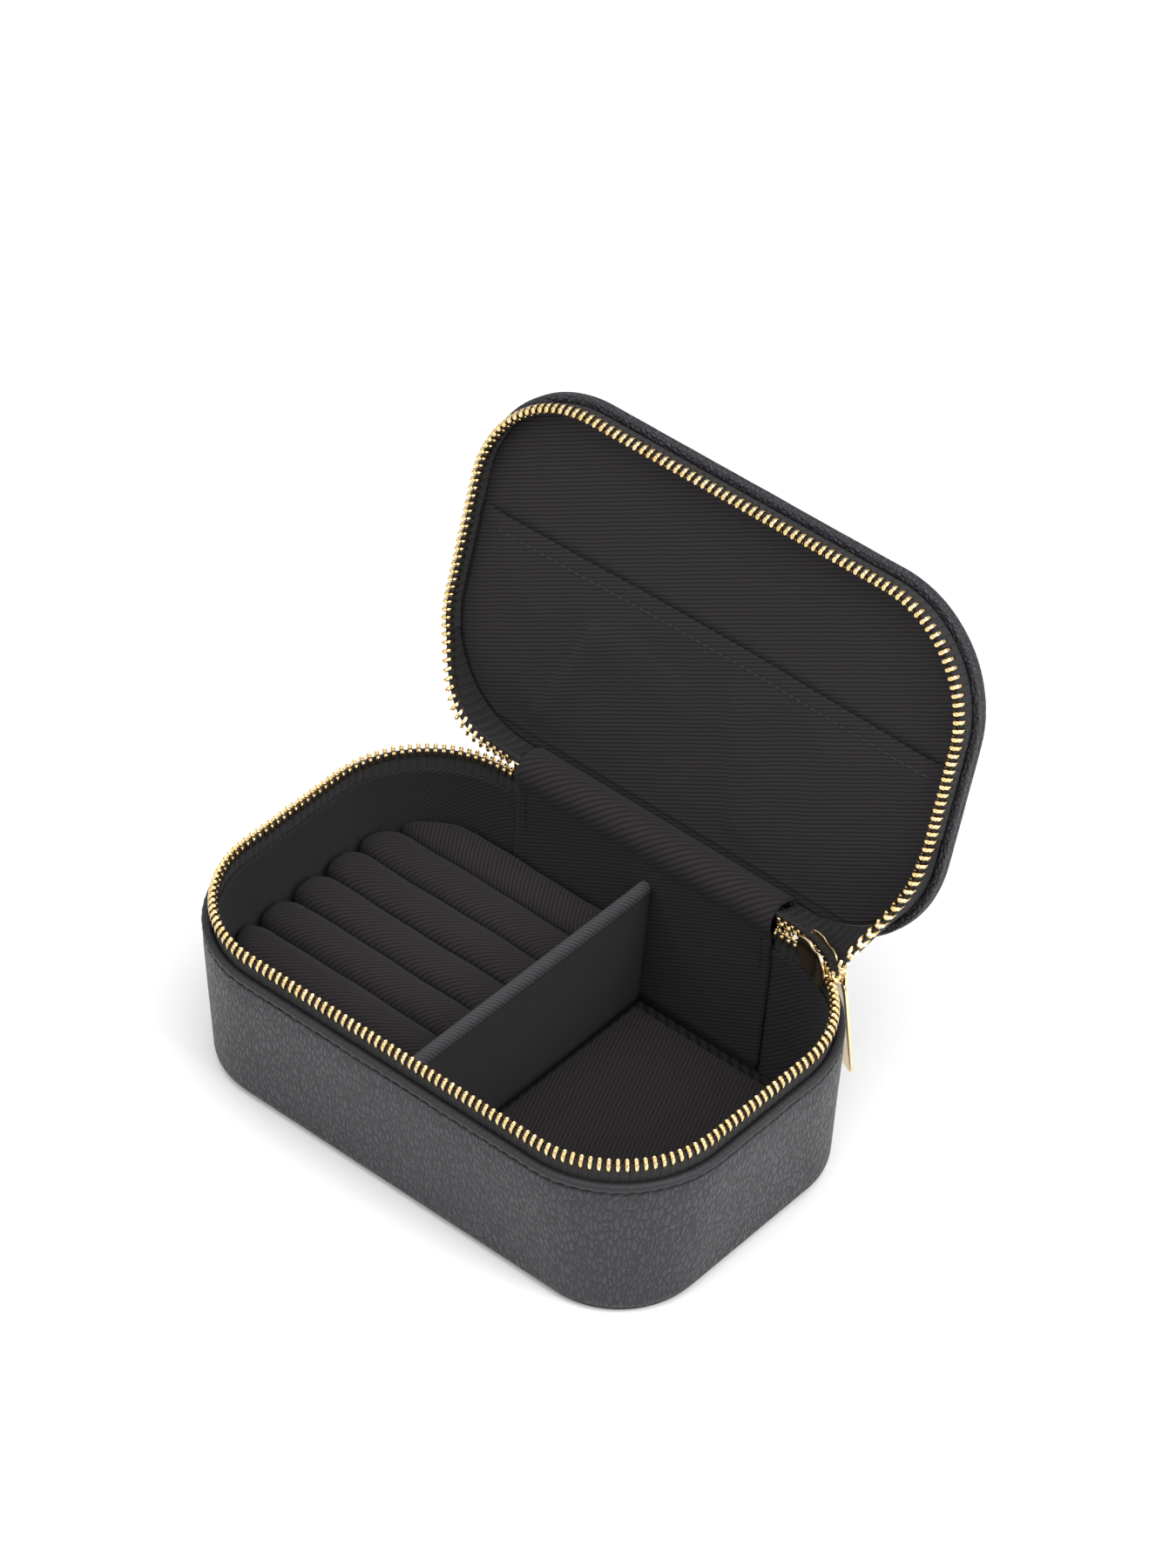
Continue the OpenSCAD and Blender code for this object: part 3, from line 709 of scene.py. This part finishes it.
lid_s = (np.arange(TOOTH_COUNT - 1) + 0.8) * TOOTH_PITCH
free = (lid_s > FREE_R) & (lid_s < CHAIN_LEN - FREE_L)
keep(copies("lid_teeth", tooth, *tooth_places(lid_s[free]), TEETH, flip=True, share=1.0), "lid", "teeth",
     "zip_teeth_lid")


def mirrored(points, side):
    return points * [side, 1, 1]


def tape(name, s, rows, share, side=1):
    """A woven tape along part of the chain: (offset, z) rows round its section, turned by the share."""
    rows = np.array(rows, float)
    grid = turned(place(s[:, None] + CHAIN_START, CHAIN_IN - rows[:, 0], rows[:, 1]), share)
    uv = together(s[:, None], profile_length(rows, True))
    return surface(name, mirrored(grid, side), TAPE, uv, (False, True), True)


half = TAPE_T / 2
foot_z = box_mm("zip_tape_base")[0][2]
upright = np.arange(foot_z + 0.3, TAPE_EDGE - 0.5, 0.8)
rows = [(half, z) for z in upright] + [(half + 0.02, TAPE_EDGE - 0.3), (half - 0.1, TAPE_EDGE - 0.08)]
rows += [(0, TAPE_EDGE)] + [(-x, z) for x, z in rows[::-1]]
keep(tape("base_zip_tape", np.linspace(0, CHAIN_LEN, 420), rows, 0), "base", "tape", "zip_tape_base")

lid_rows = [(x, 2 * ZIP_Z - z) for x, z in rows if z > BASE_H - 1]
RIM_SEAM = LID_Z + 0.9
lid_rows = [(half, RIM_SEAM)] + lid_rows + [(-half, RIM_SEAM)]
keep(tape("lid_zip_tape", np.linspace(FREE_R, CHAIN_LEN - FREE_L, 300), lid_rows, 1), "lid", "tape", "zip_tape_lid")

# The lid's free ends: the height of their blend line, the end tape's thickness, and the gusset's two edges.
ROW_Z, END_T = ZIP_Z + 1.4, 0.3
LOW_Z, SEWN_Z = 2 * ZIP_Z - TOOTH_FOOT + 0.4, LID_Z - 0.1
GUSSET_CUTS = np.array([0.1, 0.22, 0.36, 0.6])


def leaving(side, s):
    """The share of the opening that the lid's row has at each distance from the chain's end, and the line of
    its blend. Each share is the one that the blend itself gives the row there, so that the row closes exactly."""
    line = place(np.array(ENDS[side]) + CHAIN_START, CHAIN_IN, ROW_Z)
    start, end = turned(line, np.array([0, 1]))
    way = np.array([1.4, -0.8, 1])
    way = way / (way @ (end - start))
    tries = np.linspace(0, 1, 801)
    share, last = [], 0
    for row in place(s + CHAIN_START, CHAIN_IN, ROW_Z):
        off = smooth((turned(np.tile(row, (len(tries), 1)), tries) - start) @ way) - tries
        turns = [t for t, a, b in zip(tries, off, off[1:]) if a * b <= 0] or [1.0]
        last = min(turns, key=lambda t: abs(t - last))
        share.append(last)
    return np.array(share), start, start + way / (way @ way)


def share_position(share):
    """How far along a blend line a share lies."""
    along = np.linspace(0, 1, 1001)
    return np.interp(share, smooth(along), along)


def fitted_line(points, wanted):
    """The blend line that comes nearest to giving each point its wanted position; 0 and 1 may be passed."""
    table = np.column_stack([points, np.ones(len(points))])
    aim = wanted
    for _ in range(400):
        fit = np.linalg.lstsq(table, aim, rcond=None)[0]
        got = table @ fit
        aim = np.where(wanted > 0.999, np.maximum(got, 1), np.where(wanted < 0.001, np.minimum(got, 0), wanted))
    way = fit[:3] / (fit[:3] @ fit[:3])
    start = -fit[3] * way
    return start, start + way


for side, name in ((1, "right"), (-1, "left")):
    joined, free_end = ENDS[side]
    s = np.linspace(0, free_end + 0.1, 90)
    share, start, end = leaving(side, s)
    levels = np.linspace(2 * ZIP_Z - TAPE_EDGE, LOW_Z, 7)
    rows = [(END_T / 2, z) for z in levels] + [(-END_T / 2, z) for z in levels[::-1]]
    band = tape(f"lid_zip_tape_{name}_end", s, rows, share[:, None], side)
    own = lid_s if side > 0 else CHAIN_LEN - lid_s
    own = np.sort(own[(own < free_end) & (own > 0)])
    own_share = leaving(side, own)[0]
    spots, outward = tooth_places(own)
    if side < 0:
        spots, outward = mirrored(spots, -1), math.pi - outward
    row = copies(f"lid_teeth_{name}_end", tooth, spots, outward, TEETH, flip=True, share=own_share)
    bends(band, "tape", mirrored(start, side), mirrored(end, side), f"zip_tape_end_{name}")
    bends(row, "teeth", mirrored(start, side), mirrored(end, side), f"zip_teeth_end_{name}")
    # The gusset between that band and the lid's rim, from the hinge round to where the row is free.
    cuts = np.searchsorted(s, [0, joined, *(joined + GUSSET_CUTS * (free_end - joined)), free_end])
    for part in range(len(cuts) - 1):
        cut = slice(cuts[part], cuts[part + 1] + 1)
        low, sewn_edge, rim_edge = (turned(place(s[cut] + CHAIN_START, CHAIN_IN, z), k) for z, k in (
            (LOW_Z - 0.1, share[cut]), (SEWN_Z, 1.0), (RIM_SEAM, 1.0)))
        steps = np.linspace(0, 1, 14)[None, :, None]
        sheet = low[:, None] * (1 - steps) + sewn_edge[:, None] * steps
        gap = np.linalg.norm(sewn_edge - low, axis=1)[:, None]
        sheet[..., 2] -= 0.07 * gap * np.sin(math.pi * steps[..., 0])
        sheet = np.concatenate([sheet, rim_edge[:, None]], 1)
        normal = np.cross(np.gradient(sheet, axis=1), np.gradient(sheet, axis=0))
        normal /= np.linalg.norm(normal, axis=-1, keepdims=True)
        sheet = np.concatenate([sheet + normal * END_T / 2, (sheet - normal * END_T / 2)[:, ::-1]], 1)
        run = np.concatenate([np.linspace(0, 8, 15), np.linspace(8.3, 16.3, 15), [16.6]])
        web = surface(f"lid_zip_gusset_{name}_{part + 1}", mirrored(sheet, side), SHADED_END_TAPE,
                      together(s[cut][:, None], run), (False, True), True)
        held = [sewn_edge, rim_edge] if part == 0 else [sheet[:, 5], sewn_edge, rim_edge]
        first, last = fitted_line(np.concatenate([low, *held]),
                                  np.concatenate([share_position(share[cut]), np.ones(len(held) * len(low))]))
        if part == 0:  # Beside the joined rows the line is drawn in.
            way = last - first
            low_at = ((low - first) @ way / (way @ way)).max()
            sewn_at = ((sewn_edge - first) @ way / (way @ way)).min()
            first, last = first + low_at * way, first + (0.55 * low_at + 0.45 * sewn_at) * way
        bends(web, "tape", mirrored(first, side), mirrored(last, side))

stop_low, stop_high = box_mm("zip_stop")
centre, size = (stop_low + stop_high) / 2, (stop_high - stop_low) / 2
stop = join([loft([(-size[2], 0.25, 0.7, 3), (-size[2] + 0.3, 0.36, 0.95, 5), (size[2] - 0.3, 0.36, 0.95, 5),
                   (size[2], 0.25, 0.7, 3)], 16, (side * (size[1] - 0.38), 0)) for side in (1, -1)])
keep(copies("zip_end_stop", stop, [centre], math.pi / 2, TEETH), "base", "teeth", "zip_stop")

# ---- hinge ----


def strip(name, rows, material, ribs, half_x):
    """A strip across the hinge from closed-lid rows (y, z, share), outer face then inner face."""
    rows = np.array(rows, float)
    y, z, share = rows.T
    x = np.linspace(-half_x, half_x, 60)[:, None]
    sag = 0.12 * np.sin(x / 7.3) + 0.1 * np.sin(x / 3.9 + 1)
    grid = turned(together(x, y + sag * (share * (1 - share) * 4), z), share)
    uv = together(x, profile_length(rows[:, :2], True))
    return surface(name, grid, material, uv, (False, True), True, ribs)


def bent_rows(y, z_low, z_high, foot_points, thickness, beyond):
    """Rows for strip(): its foot on the base, the bend from z_low to z_high, and what lies beyond on the lid."""
    heights = np.concatenate([np.linspace(z_low, z_high, 22), beyond])
    front = [(py, pz, 0) for py, pz in foot_points]
    front += [(y, z, smooth((z - z_low) / (z_high - z_low))) for z in heights]
    return front + [(py + thickness, pz, k) for py, pz, k in front[::-1]]


panel_y = CASE_D / 2 + 0.1
back_rows = bent_rows(panel_y, BASE_H + 4, LID_Z, [(panel_y, TAPER_H + z) for z in (0, 3, 6, 9)], 1.0,
                      [LID_Z + 1, LID_Z + 2])
panel = strip("hinge_leather_panel", back_rows, RIM_LEATHER, 0.0, HINGE_W / 2 + 3.5)
ends = turned(np.array([[0, panel_y + 0.5, BASE_H + 4], [0, panel_y + 0.5, LID_Z]]), np.array([0, 1]))
bends(panel, "leather", *ends, "hinge_leather")

lining_y = CASE_D / 2 - LINING_IN - 0.65
foot = [(CASE_D / 2 - taper(z)[0] - LINING_IN - 0.65, z) for z in np.linspace(6, BASE_H + 2, 16)]
inner_rows = bent_rows(lining_y, BASE_H + 3, LID_Z - 0.4, foot, 0.6, [])
inner = strip("hinge_twill_panel", inner_rows, PAD_TWILL, 27, HINGE_W / 2 + 1.6)
ends = turned(np.array([[0, lining_y, BASE_H + 3], [0, lining_y, LID_Z - 0.4]]), np.array([0, 1]))
bends(inner, "twill", *ends, "hinge_lining")

seam = [(side * (HINGE_W / 2 - 1.5), lining_y - 0.12, z) for side in (-1, 1) for z in np.arange(26, 48.5, 2.4)]
small = laid_stitch(0.2)[0] * [0.7, 0.8, 0.7]
upright_stitch = (small[:, [0, 2, 1]], stitch[1])
keep(copies("hinge_seam_stitches", upright_stitch, seam, -math.pi / 2, THREAD), "base", "thread",
     "hinge_stitching")

# ---- lid ----

lid_edge = LEATHER_T + 1.1
LID_STITCH_IN = 4.2


def lid_shift(s, depth, z):
    """The rim's fold line, the sewn line on top, and a padded top."""
    fold = 0.22 * hump(z - LID_Z - 1.5, 0.22) * (depth < 0.3)
    rim = 0.08 * wobble(s, 17, (7, 12, 19, 33), 1.0) * (depth < 0.5)
    top = z > LID_TOP - 0.4
    dip = -0.3 * hump(depth - LID_STITCH_IN, 0.5) * (1 - 0.4 * sewn(s)) * top
    crown = 0.45 * smooth((depth - 5) / 14) * top
    return fold + rim, dip + crown


shell = [(22, LID_TOP - LEATHER_T), (lid_edge - 0.4, LID_TOP - LEATHER_T)]
shell += [(d, LID_Z + z) for d, z in ((lid_edge - 0.5, 1.0), (lid_edge, 0.9), (lid_edge, 0.4),
          (lid_edge - 0.15, 0.12), (lid_edge - 0.5, 0), (1.3, 0), (0.8, 0), (0.35, 0.08), (0.1, 0.3), (0, 0.6))]
shell += [(0, z) for z in np.arange(LID_Z + 0.8, LID_Z + 2.5, 0.15)]
shell += [(d, LID_Z + z) for d, z in ((0.08, 2.8), (0.3, 3.15), (0.65, 3.45), (1.2, 3.72), (1.8, 3.88),
          (2.5, 3.96))]
shell += [(d, LID_TOP) for d in np.arange(3, 6.01, 0.25)] + [(d, LID_TOP) for d in (7, 9, 12, 16, 20, 22)]
keep(ring_shell("lid_leather_shell", shell, LEATHER, 0.6, closed=False, shift=lid_shift, share=1.0), "lid",
     "leather", "lid_leather")

top_stitch = (laid_stitch(0.3)[0][:, [2, 1, 0]], stitch[1])
keep(copies("lid_top_stitches", top_stitch, place(STITCHES, LID_STITCH_IN, LID_TOP - 0.05), heading(STITCHES),
            THREAD, share=1.0), "lid", "thread", "lid_stitching")

face_z = LID_Z + 0.3
rows = [(18, 0.7), (0.2, 0.7), (0, 0.4), (0.1, 0.12)] + [(d, 0) for d in (0.5, 1, 2, 3.5, 6, 9, 13, 18, 23)]
rows = np.array(rows) + [LINING_OUT, face_z]
grid = ring_grid(rows, 1.2)
wave = 0.16 * np.sin(grid[..., 0] / 21 + grid[..., 1] / 34) + 0.1 * np.sin(grid[..., 0] / 9 - grid[..., 1] / 14)
grid[..., 2] -= np.abs(wave) * smooth((rows[:, 0] - LINING_OUT - 0.4) / 8) * (rows[:, 1] < face_z + 0.1)
keep(surface("lid_twill_lining", grid, TWILL, None, (True, False), True, ribs=-27, share=1.0), "lid", "twill",
     "lid_lining")

pocket_low, pocket_high = -9.5, 43.9
POCKET_IN = LINING_OUT + 0.9
HEM = 4.7


def bump_line(x, y, x0, lean, width, y0, y1, size):
    """A soft fold across the pocket from y0 to y1, at x0 where it starts."""
    centre = x0 + lean * (y - y0)
    fade = smooth((y - y0) / 9) * smooth((y1 - y) / 14)
    off = (x - centre) / width
    return size * hump(np.where(off > 0, off / 3.2, off), 1) * fade


def pocket_slack(x, y):
    """How far the pocket's cloth stands off the lining."""
    edge = smooth((half_width(y, POCKET_IN) - np.abs(x)) / 9) * smooth((pocket_high - y) / 9)
    lift = 0.35 + 0.8 * smooth((10 - y) / 20)
    for x0, lean, width, y0, y1, size in ((-31, -0.4, 2.0, 1, 50, 1.2), (10, 0.25, 3.2, -2, 50, 1.1),
                                          (42, -0.1, 3.6, -4, 40, 0.7), (-58, 0.15, 3.0, 2, 46, 0.6)):
        lift = lift + bump_line(x, y, x0, lean, width, y0, y1, size)
    lift = lift + bump_line(y, x, 6, 0.1, 2.6, -40, 8, 0.7)
    lift = lift + 0.12 * np.sin(x / 6 + y / 9) * np.sin(y / 8)
    return lift * edge


across = np.linspace(-1, 1, 280)[:, None]
down = np.concatenate([np.arange(0, HEM + 1.2, 0.4), np.arange(HEM + 1.6, pocket_high - pocket_low, 1.2),
                       [pocket_high - pocket_low]])
y = pocket_low + down
x = across * (half_width(y, POCKET_IN) - 0.2)
yy = y - 0.5 * np.cos(x / 24) * (down < 8)
hem = 0.22 * smooth((HEM + 0.3 - down) / 0.6) - 0.2 * hump(down - HEM, 0.45)
lift = pocket_slack(x, yy)
front = face_z - 0.35 - lift - hem
rear = face_z - 0.12 - lift * 0.98
rim = hump(down, 0.35) * 0.18
grid = np.concatenate([together(x, yy, front + rim), together(x, yy, rear - rim * 0.3)[:, ::-1]], 1)
uv = np.concatenate([grid, grid[:, :1]], 1)[..., :2]
pocket = keep(surface("lid_slip_pocket", grid, TWILL, uv, (False, True), True, ribs=-27, share=1.0), "lid", "twill",
              "lid_pocket")

x = np.linspace(-1, 1, 62)[1:-1] * 71
y = pocket_low + HEM - 0.5 * np.cos(x / 24)
spots = together(x, y, face_z - 0.33 - pocket_slack(x, y))
flat_stitch = (small[:, [1, 2, 0]] * [0.9, 0.9, -0.9], stitch[1])
keep(copies("pocket_hem_stitches", flat_stitch, spots, 0, HEM_THREAD, share=1.0), "lid", "thread",
     "pocket_stitching")

# ---- slider and pull ----

MID = math.radians(65)
SLIDER_HALF_H, PLATE_T, CHANNEL = 4.7, 0.9, TOOTH_W / 2 + 0.4
TAIL, NOSE, TALL = 5.2, 9.0, 1.18


def at_corner(out, run, up):
    """Points out from the chain, along the chain and up from the zip, bent round the back corner."""
    a = MID + run / CHAIN_R
    return together(CORNER[0] + (CHAIN_R + out) * np.cos(a), CORNER[1] + (CHAIN_R + out) * np.sin(a), ZIP_Z + up)


def slider_plate(name, side, node):
    """A shield-shaped plate with a shallow notch in its top edge and a long nose towards the hinge."""
    x, y = rounded_section(1, 1, 3.4, 72).T
    run = x * TAIL * (1 - 0.12 * smooth(-y))
    up = (y * SLIDER_HALF_H - 0.9 * hump(run - 0.6, 0.8) * (y > 0.5)) * TALL
    run = run * np.where(run > 0, NOSE / TAIL, 1)
    out, k = np.array([(0, 0.9), (0, 1.0), (0.14, 1.0), (0.5, 1.0), (0.76, 0.97), (0.88, 0.91), (0.93, 0.82),
                       (0.95, 0.6), (0.96, 0.3)]).T
    grid = at_corner(side * (CHANNEL + out), run[:, None] * k, up[:, None] * k)
    return keep(surface(name, grid, GOLD, None, (True, False), True), "slider", "gold", node)


slider_plate("slider_outer", 1, "slider_outer_plate")
slider_plate("slider_inner", -1, "slider_inner_plate")

post, faces = loft([(-CHANNEL, 0.35, 0.42, 4), (-CHANNEL + 0.3, 0.5, 0.45, 5), (CHANNEL - 0.3, 0.5, 0.45, 5),
                    (CHANNEL, 0.35, 0.42, 4)], 16)
x, y, z = post.T
keep(mesh_piece("slider_post_bar", at_corner(z, -4.0 + x * 2, y), faces, GOLD), "slider", "gold", "slider_post")

LUG_OUT = 4.3
lug_axes = np.array([[math.cos(MID), math.sin(MID), 0], [-math.sin(MID), math.cos(MID), 0], [0, 0, 1]])


def at_lug(*parts):
    """Points out from the lug's pin, along it and up from it."""
    return together(*parts) @ lug_axes + at_corner(LUG_OUT, 0, 0)


foot_x = CHANNEL + PLATE_T - LUG_OUT
a = np.linspace(-math.pi / 2, math.pi / 2, 14)
rim = np.concatenate([1.5 * together(np.cos(a), np.sin(a)), [[foot_x * 0.5, 1.5], [foot_x, 1.7], [foot_x, -1.7],
                                                             [foot_x * 0.5, -1.5]]])
angle = np.arctan2(rim[:, 1], rim[:, 0])
hole = 0.95 * together(np.cos(angle), np.sin(angle))
profile = [(hole, -1.0), (hole * 1.1, -1.2), (rim * 0.93, -1.2), (rim, -1.0), (rim, 1.0), (rim * 0.93, 1.2),
           (hole * 1.1, 1.2), (hole, 1.0)]
grid = np.stack([at_lug(p[:, 0], w, p[:, 1]) for p, w in profile], 1)
keep(surface("slider_bail_lug", grid, GOLD, None, (True, True)), "slider", "gold", "slider_lug")

LOOP_R, LOOP_LEG, WIRE_R = 3.9, 1.6, 0.55
a = np.linspace(0, math.pi, 40)
path = [(LOOP_R * math.cos(t), -LOOP_R + LOOP_R * math.sin(t)) for t in a]
bar_z = -LOOP_R - LOOP_LEG
corner = 0.5
leg_side = [(-LOOP_R, -LOOP_R - u) for u in (0.4, 0.8, LOOP_LEG - corner)]
leg_side += [(-LOOP_R + corner - corner * math.cos(t), bar_z + corner - corner * math.sin(t))
             for t in np.linspace(0.2, math.pi / 2, 6)]
path += leg_side + [(w, bar_z) for w in np.linspace(-LOOP_R + 1, LOOP_R - 1, 12)]
path += [(-w, z) for w, z in leg_side[::-1]]
path = np.array(path)
ahead = np.roll(path, -1, 0) - np.roll(path, 1, 0)
ahead /= np.linalg.norm(ahead, axis=1)[:, None]
a = np.linspace(0, 2 * math.pi, 16, endpoint=False)
ring = at_lug(WIRE_R * np.sin(a), path[:, :1] + WIRE_R * np.cos(a) * ahead[:, 1:],
              path[:, 1:] - WIRE_R * np.cos(a) * ahead[:, :1])
keep(surface("pull_loop_wire", ring, GOLD, None, (True, True)), "pull_loop", "gold", "pull_loop")

# The pull tab is longer than the CAD plate and leans outward, so that it shows past the wall.
TAB_MORE, TAB_OUT, TAB_LEAN = 3, 0.4, 0.1
tab_len = (ZIP_Z + bar_z - 0.9) - box_mm("pull_plate")[0][2] + TAB_MORE
a = np.linspace(0, 2 * math.pi, 24, endpoint=False)[:, None]
r, w = np.array([(0.72, -2.15), (0.8, -2.3), (1.05, -2.3), (1.15, -2.15), (1.15, 2.15), (1.05, 2.3), (0.8, 2.3),
                 (0.72, 2.15)]).T
eye = at_lug(r * np.cos(a), w, bar_z + r * np.sin(a))
section = rounded_section(3.5, tab_len / 2, 9, 64)
section[:, 0] *= 1 - 0.34 * smooth((section[:, 1] - tab_len / 2 + 3) / 3)
half_tab = np.array([(-0.42, 0.5, 0.9), (-0.5, 0.93, 0.985), (-0.42, 0.98, 0.996), (-0.2, 1, 1)])
out, kx, kz = np.concatenate([half_tab, half_tab[::-1] * [-1, 1, 1]]).T
z = bar_z - 0.9 - tab_len / 2 + 0.15 + section[:, 1:] * kz
tab = at_lug(out + TAB_OUT + TAB_LEAN * (bar_z - z), section[:, :1] * kx, z)
points, faces = join([(eye.reshape(-1, 3), quads(eye, None, (True, True))[0]),
                      (tab.reshape(-1, 3), quads(tab, None, (True, False), True)[0])])
keep(mesh_piece("pull_tab", points, faces, GOLD), "pull_plate", "gold", "pull_plate")

# ---- carried-over boards and floor lining ----

for node, material in (("base_wall_board", CARD), ("base_floor_board", CARD), ("lid_board", CARD),
                       ("base_floor_lining", FLOOR_TWILL)):
    frame["nodes"][node].data.materials.clear()
    frame["nodes"][node].data.materials.append(material)

# ---- floor, light and camera ----

mesh = bpy.data.meshes.new("studio_floor")
mesh.from_pydata([(-6, -6, 0), (6, -6, 0), (6, 6, 0), (-6, 6, 0)], [], [(0, 1, 2, 3)])
floor = bpy.data.objects.new("studio_floor", mesh)
bpy.context.scene.collection.objects.link(floor)
paint, tree, shader = new_material("pale_floor", Roughness=0.9, Specular_IOR_Level=0.1)
mottle = noise(tree, own_place(tree), 3.0, 2.0)
paint_colour = blend_colour(tree, mottle, (0.9, 0.9, 0.9), (0.92, 0.92, 0.92))
tree.links.new(paint_colour, shader.inputs["Base Color"])
mesh.materials.append(paint)

world = bpy.data.worlds.new("studio")
bpy.context.scene.world = world
world.use_nodes = True
sky = world.node_tree.nodes["Background"]
sky.inputs["Color"].default_value = (1, 1, 1, 1)
sky.inputs["Strength"].default_value = 0.72
bpy.context.scene.view_settings.view_transform = "Standard"

TARGET = Vector((-0.0431, 0.0744, 0.03))


def aim(azimuth, elevation, distance, target=TARGET):
    a, e = math.radians(azimuth), math.radians(elevation)
    back = Vector((math.sin(a) * math.cos(e), -math.cos(a) * math.cos(e), math.sin(e)))
    right = Vector((math.cos(a), math.sin(a), 0))
    return right, back.cross(right), back, target + back * distance


def softbox(name, azimuth, elevation, distance, size, power):
    light = bpy.data.lights.new(name, "AREA")
    light.shape = "RECTANGLE"
    light.size, light.size_y = size
    light.energy = power
    obj = bpy.data.objects.new(name, light)
    right, up, back, place_at = aim(azimuth, elevation, distance, Vector((0, 0, 0.05)))
    obj.matrix_world = Matrix.Translation(place_at) @ Matrix((right, up, back)).transposed().to_4x4()
    bpy.context.scene.collection.objects.link(obj)


softbox("key", 95, 40, 1.1, (0.6, 0.8), 8.5)
softbox("top", 20, 80, 1.3, (1.0, 1.0), 9)
softbox("front", -15, 35, 1.4, (0.9, 0.5), 4)

camera = bpy.data.cameras.new("camera")
camera.lens = 151.5
camera.clip_start, camera.clip_end = 0.05, 20
camera_object = bpy.data.objects.new("camera", camera)
right, up, back, place_at = aim(40.63, 42.09, 1.704)
axes = Matrix((right, up, back)).transposed().to_4x4()
camera_object.matrix_world = Matrix.Translation(place_at) @ axes @ Matrix.Rotation(math.radians(0.98), 4, "Z")
bpy.context.scene.collection.objects.link(camera_object)
bpy.context.scene.camera = camera_object
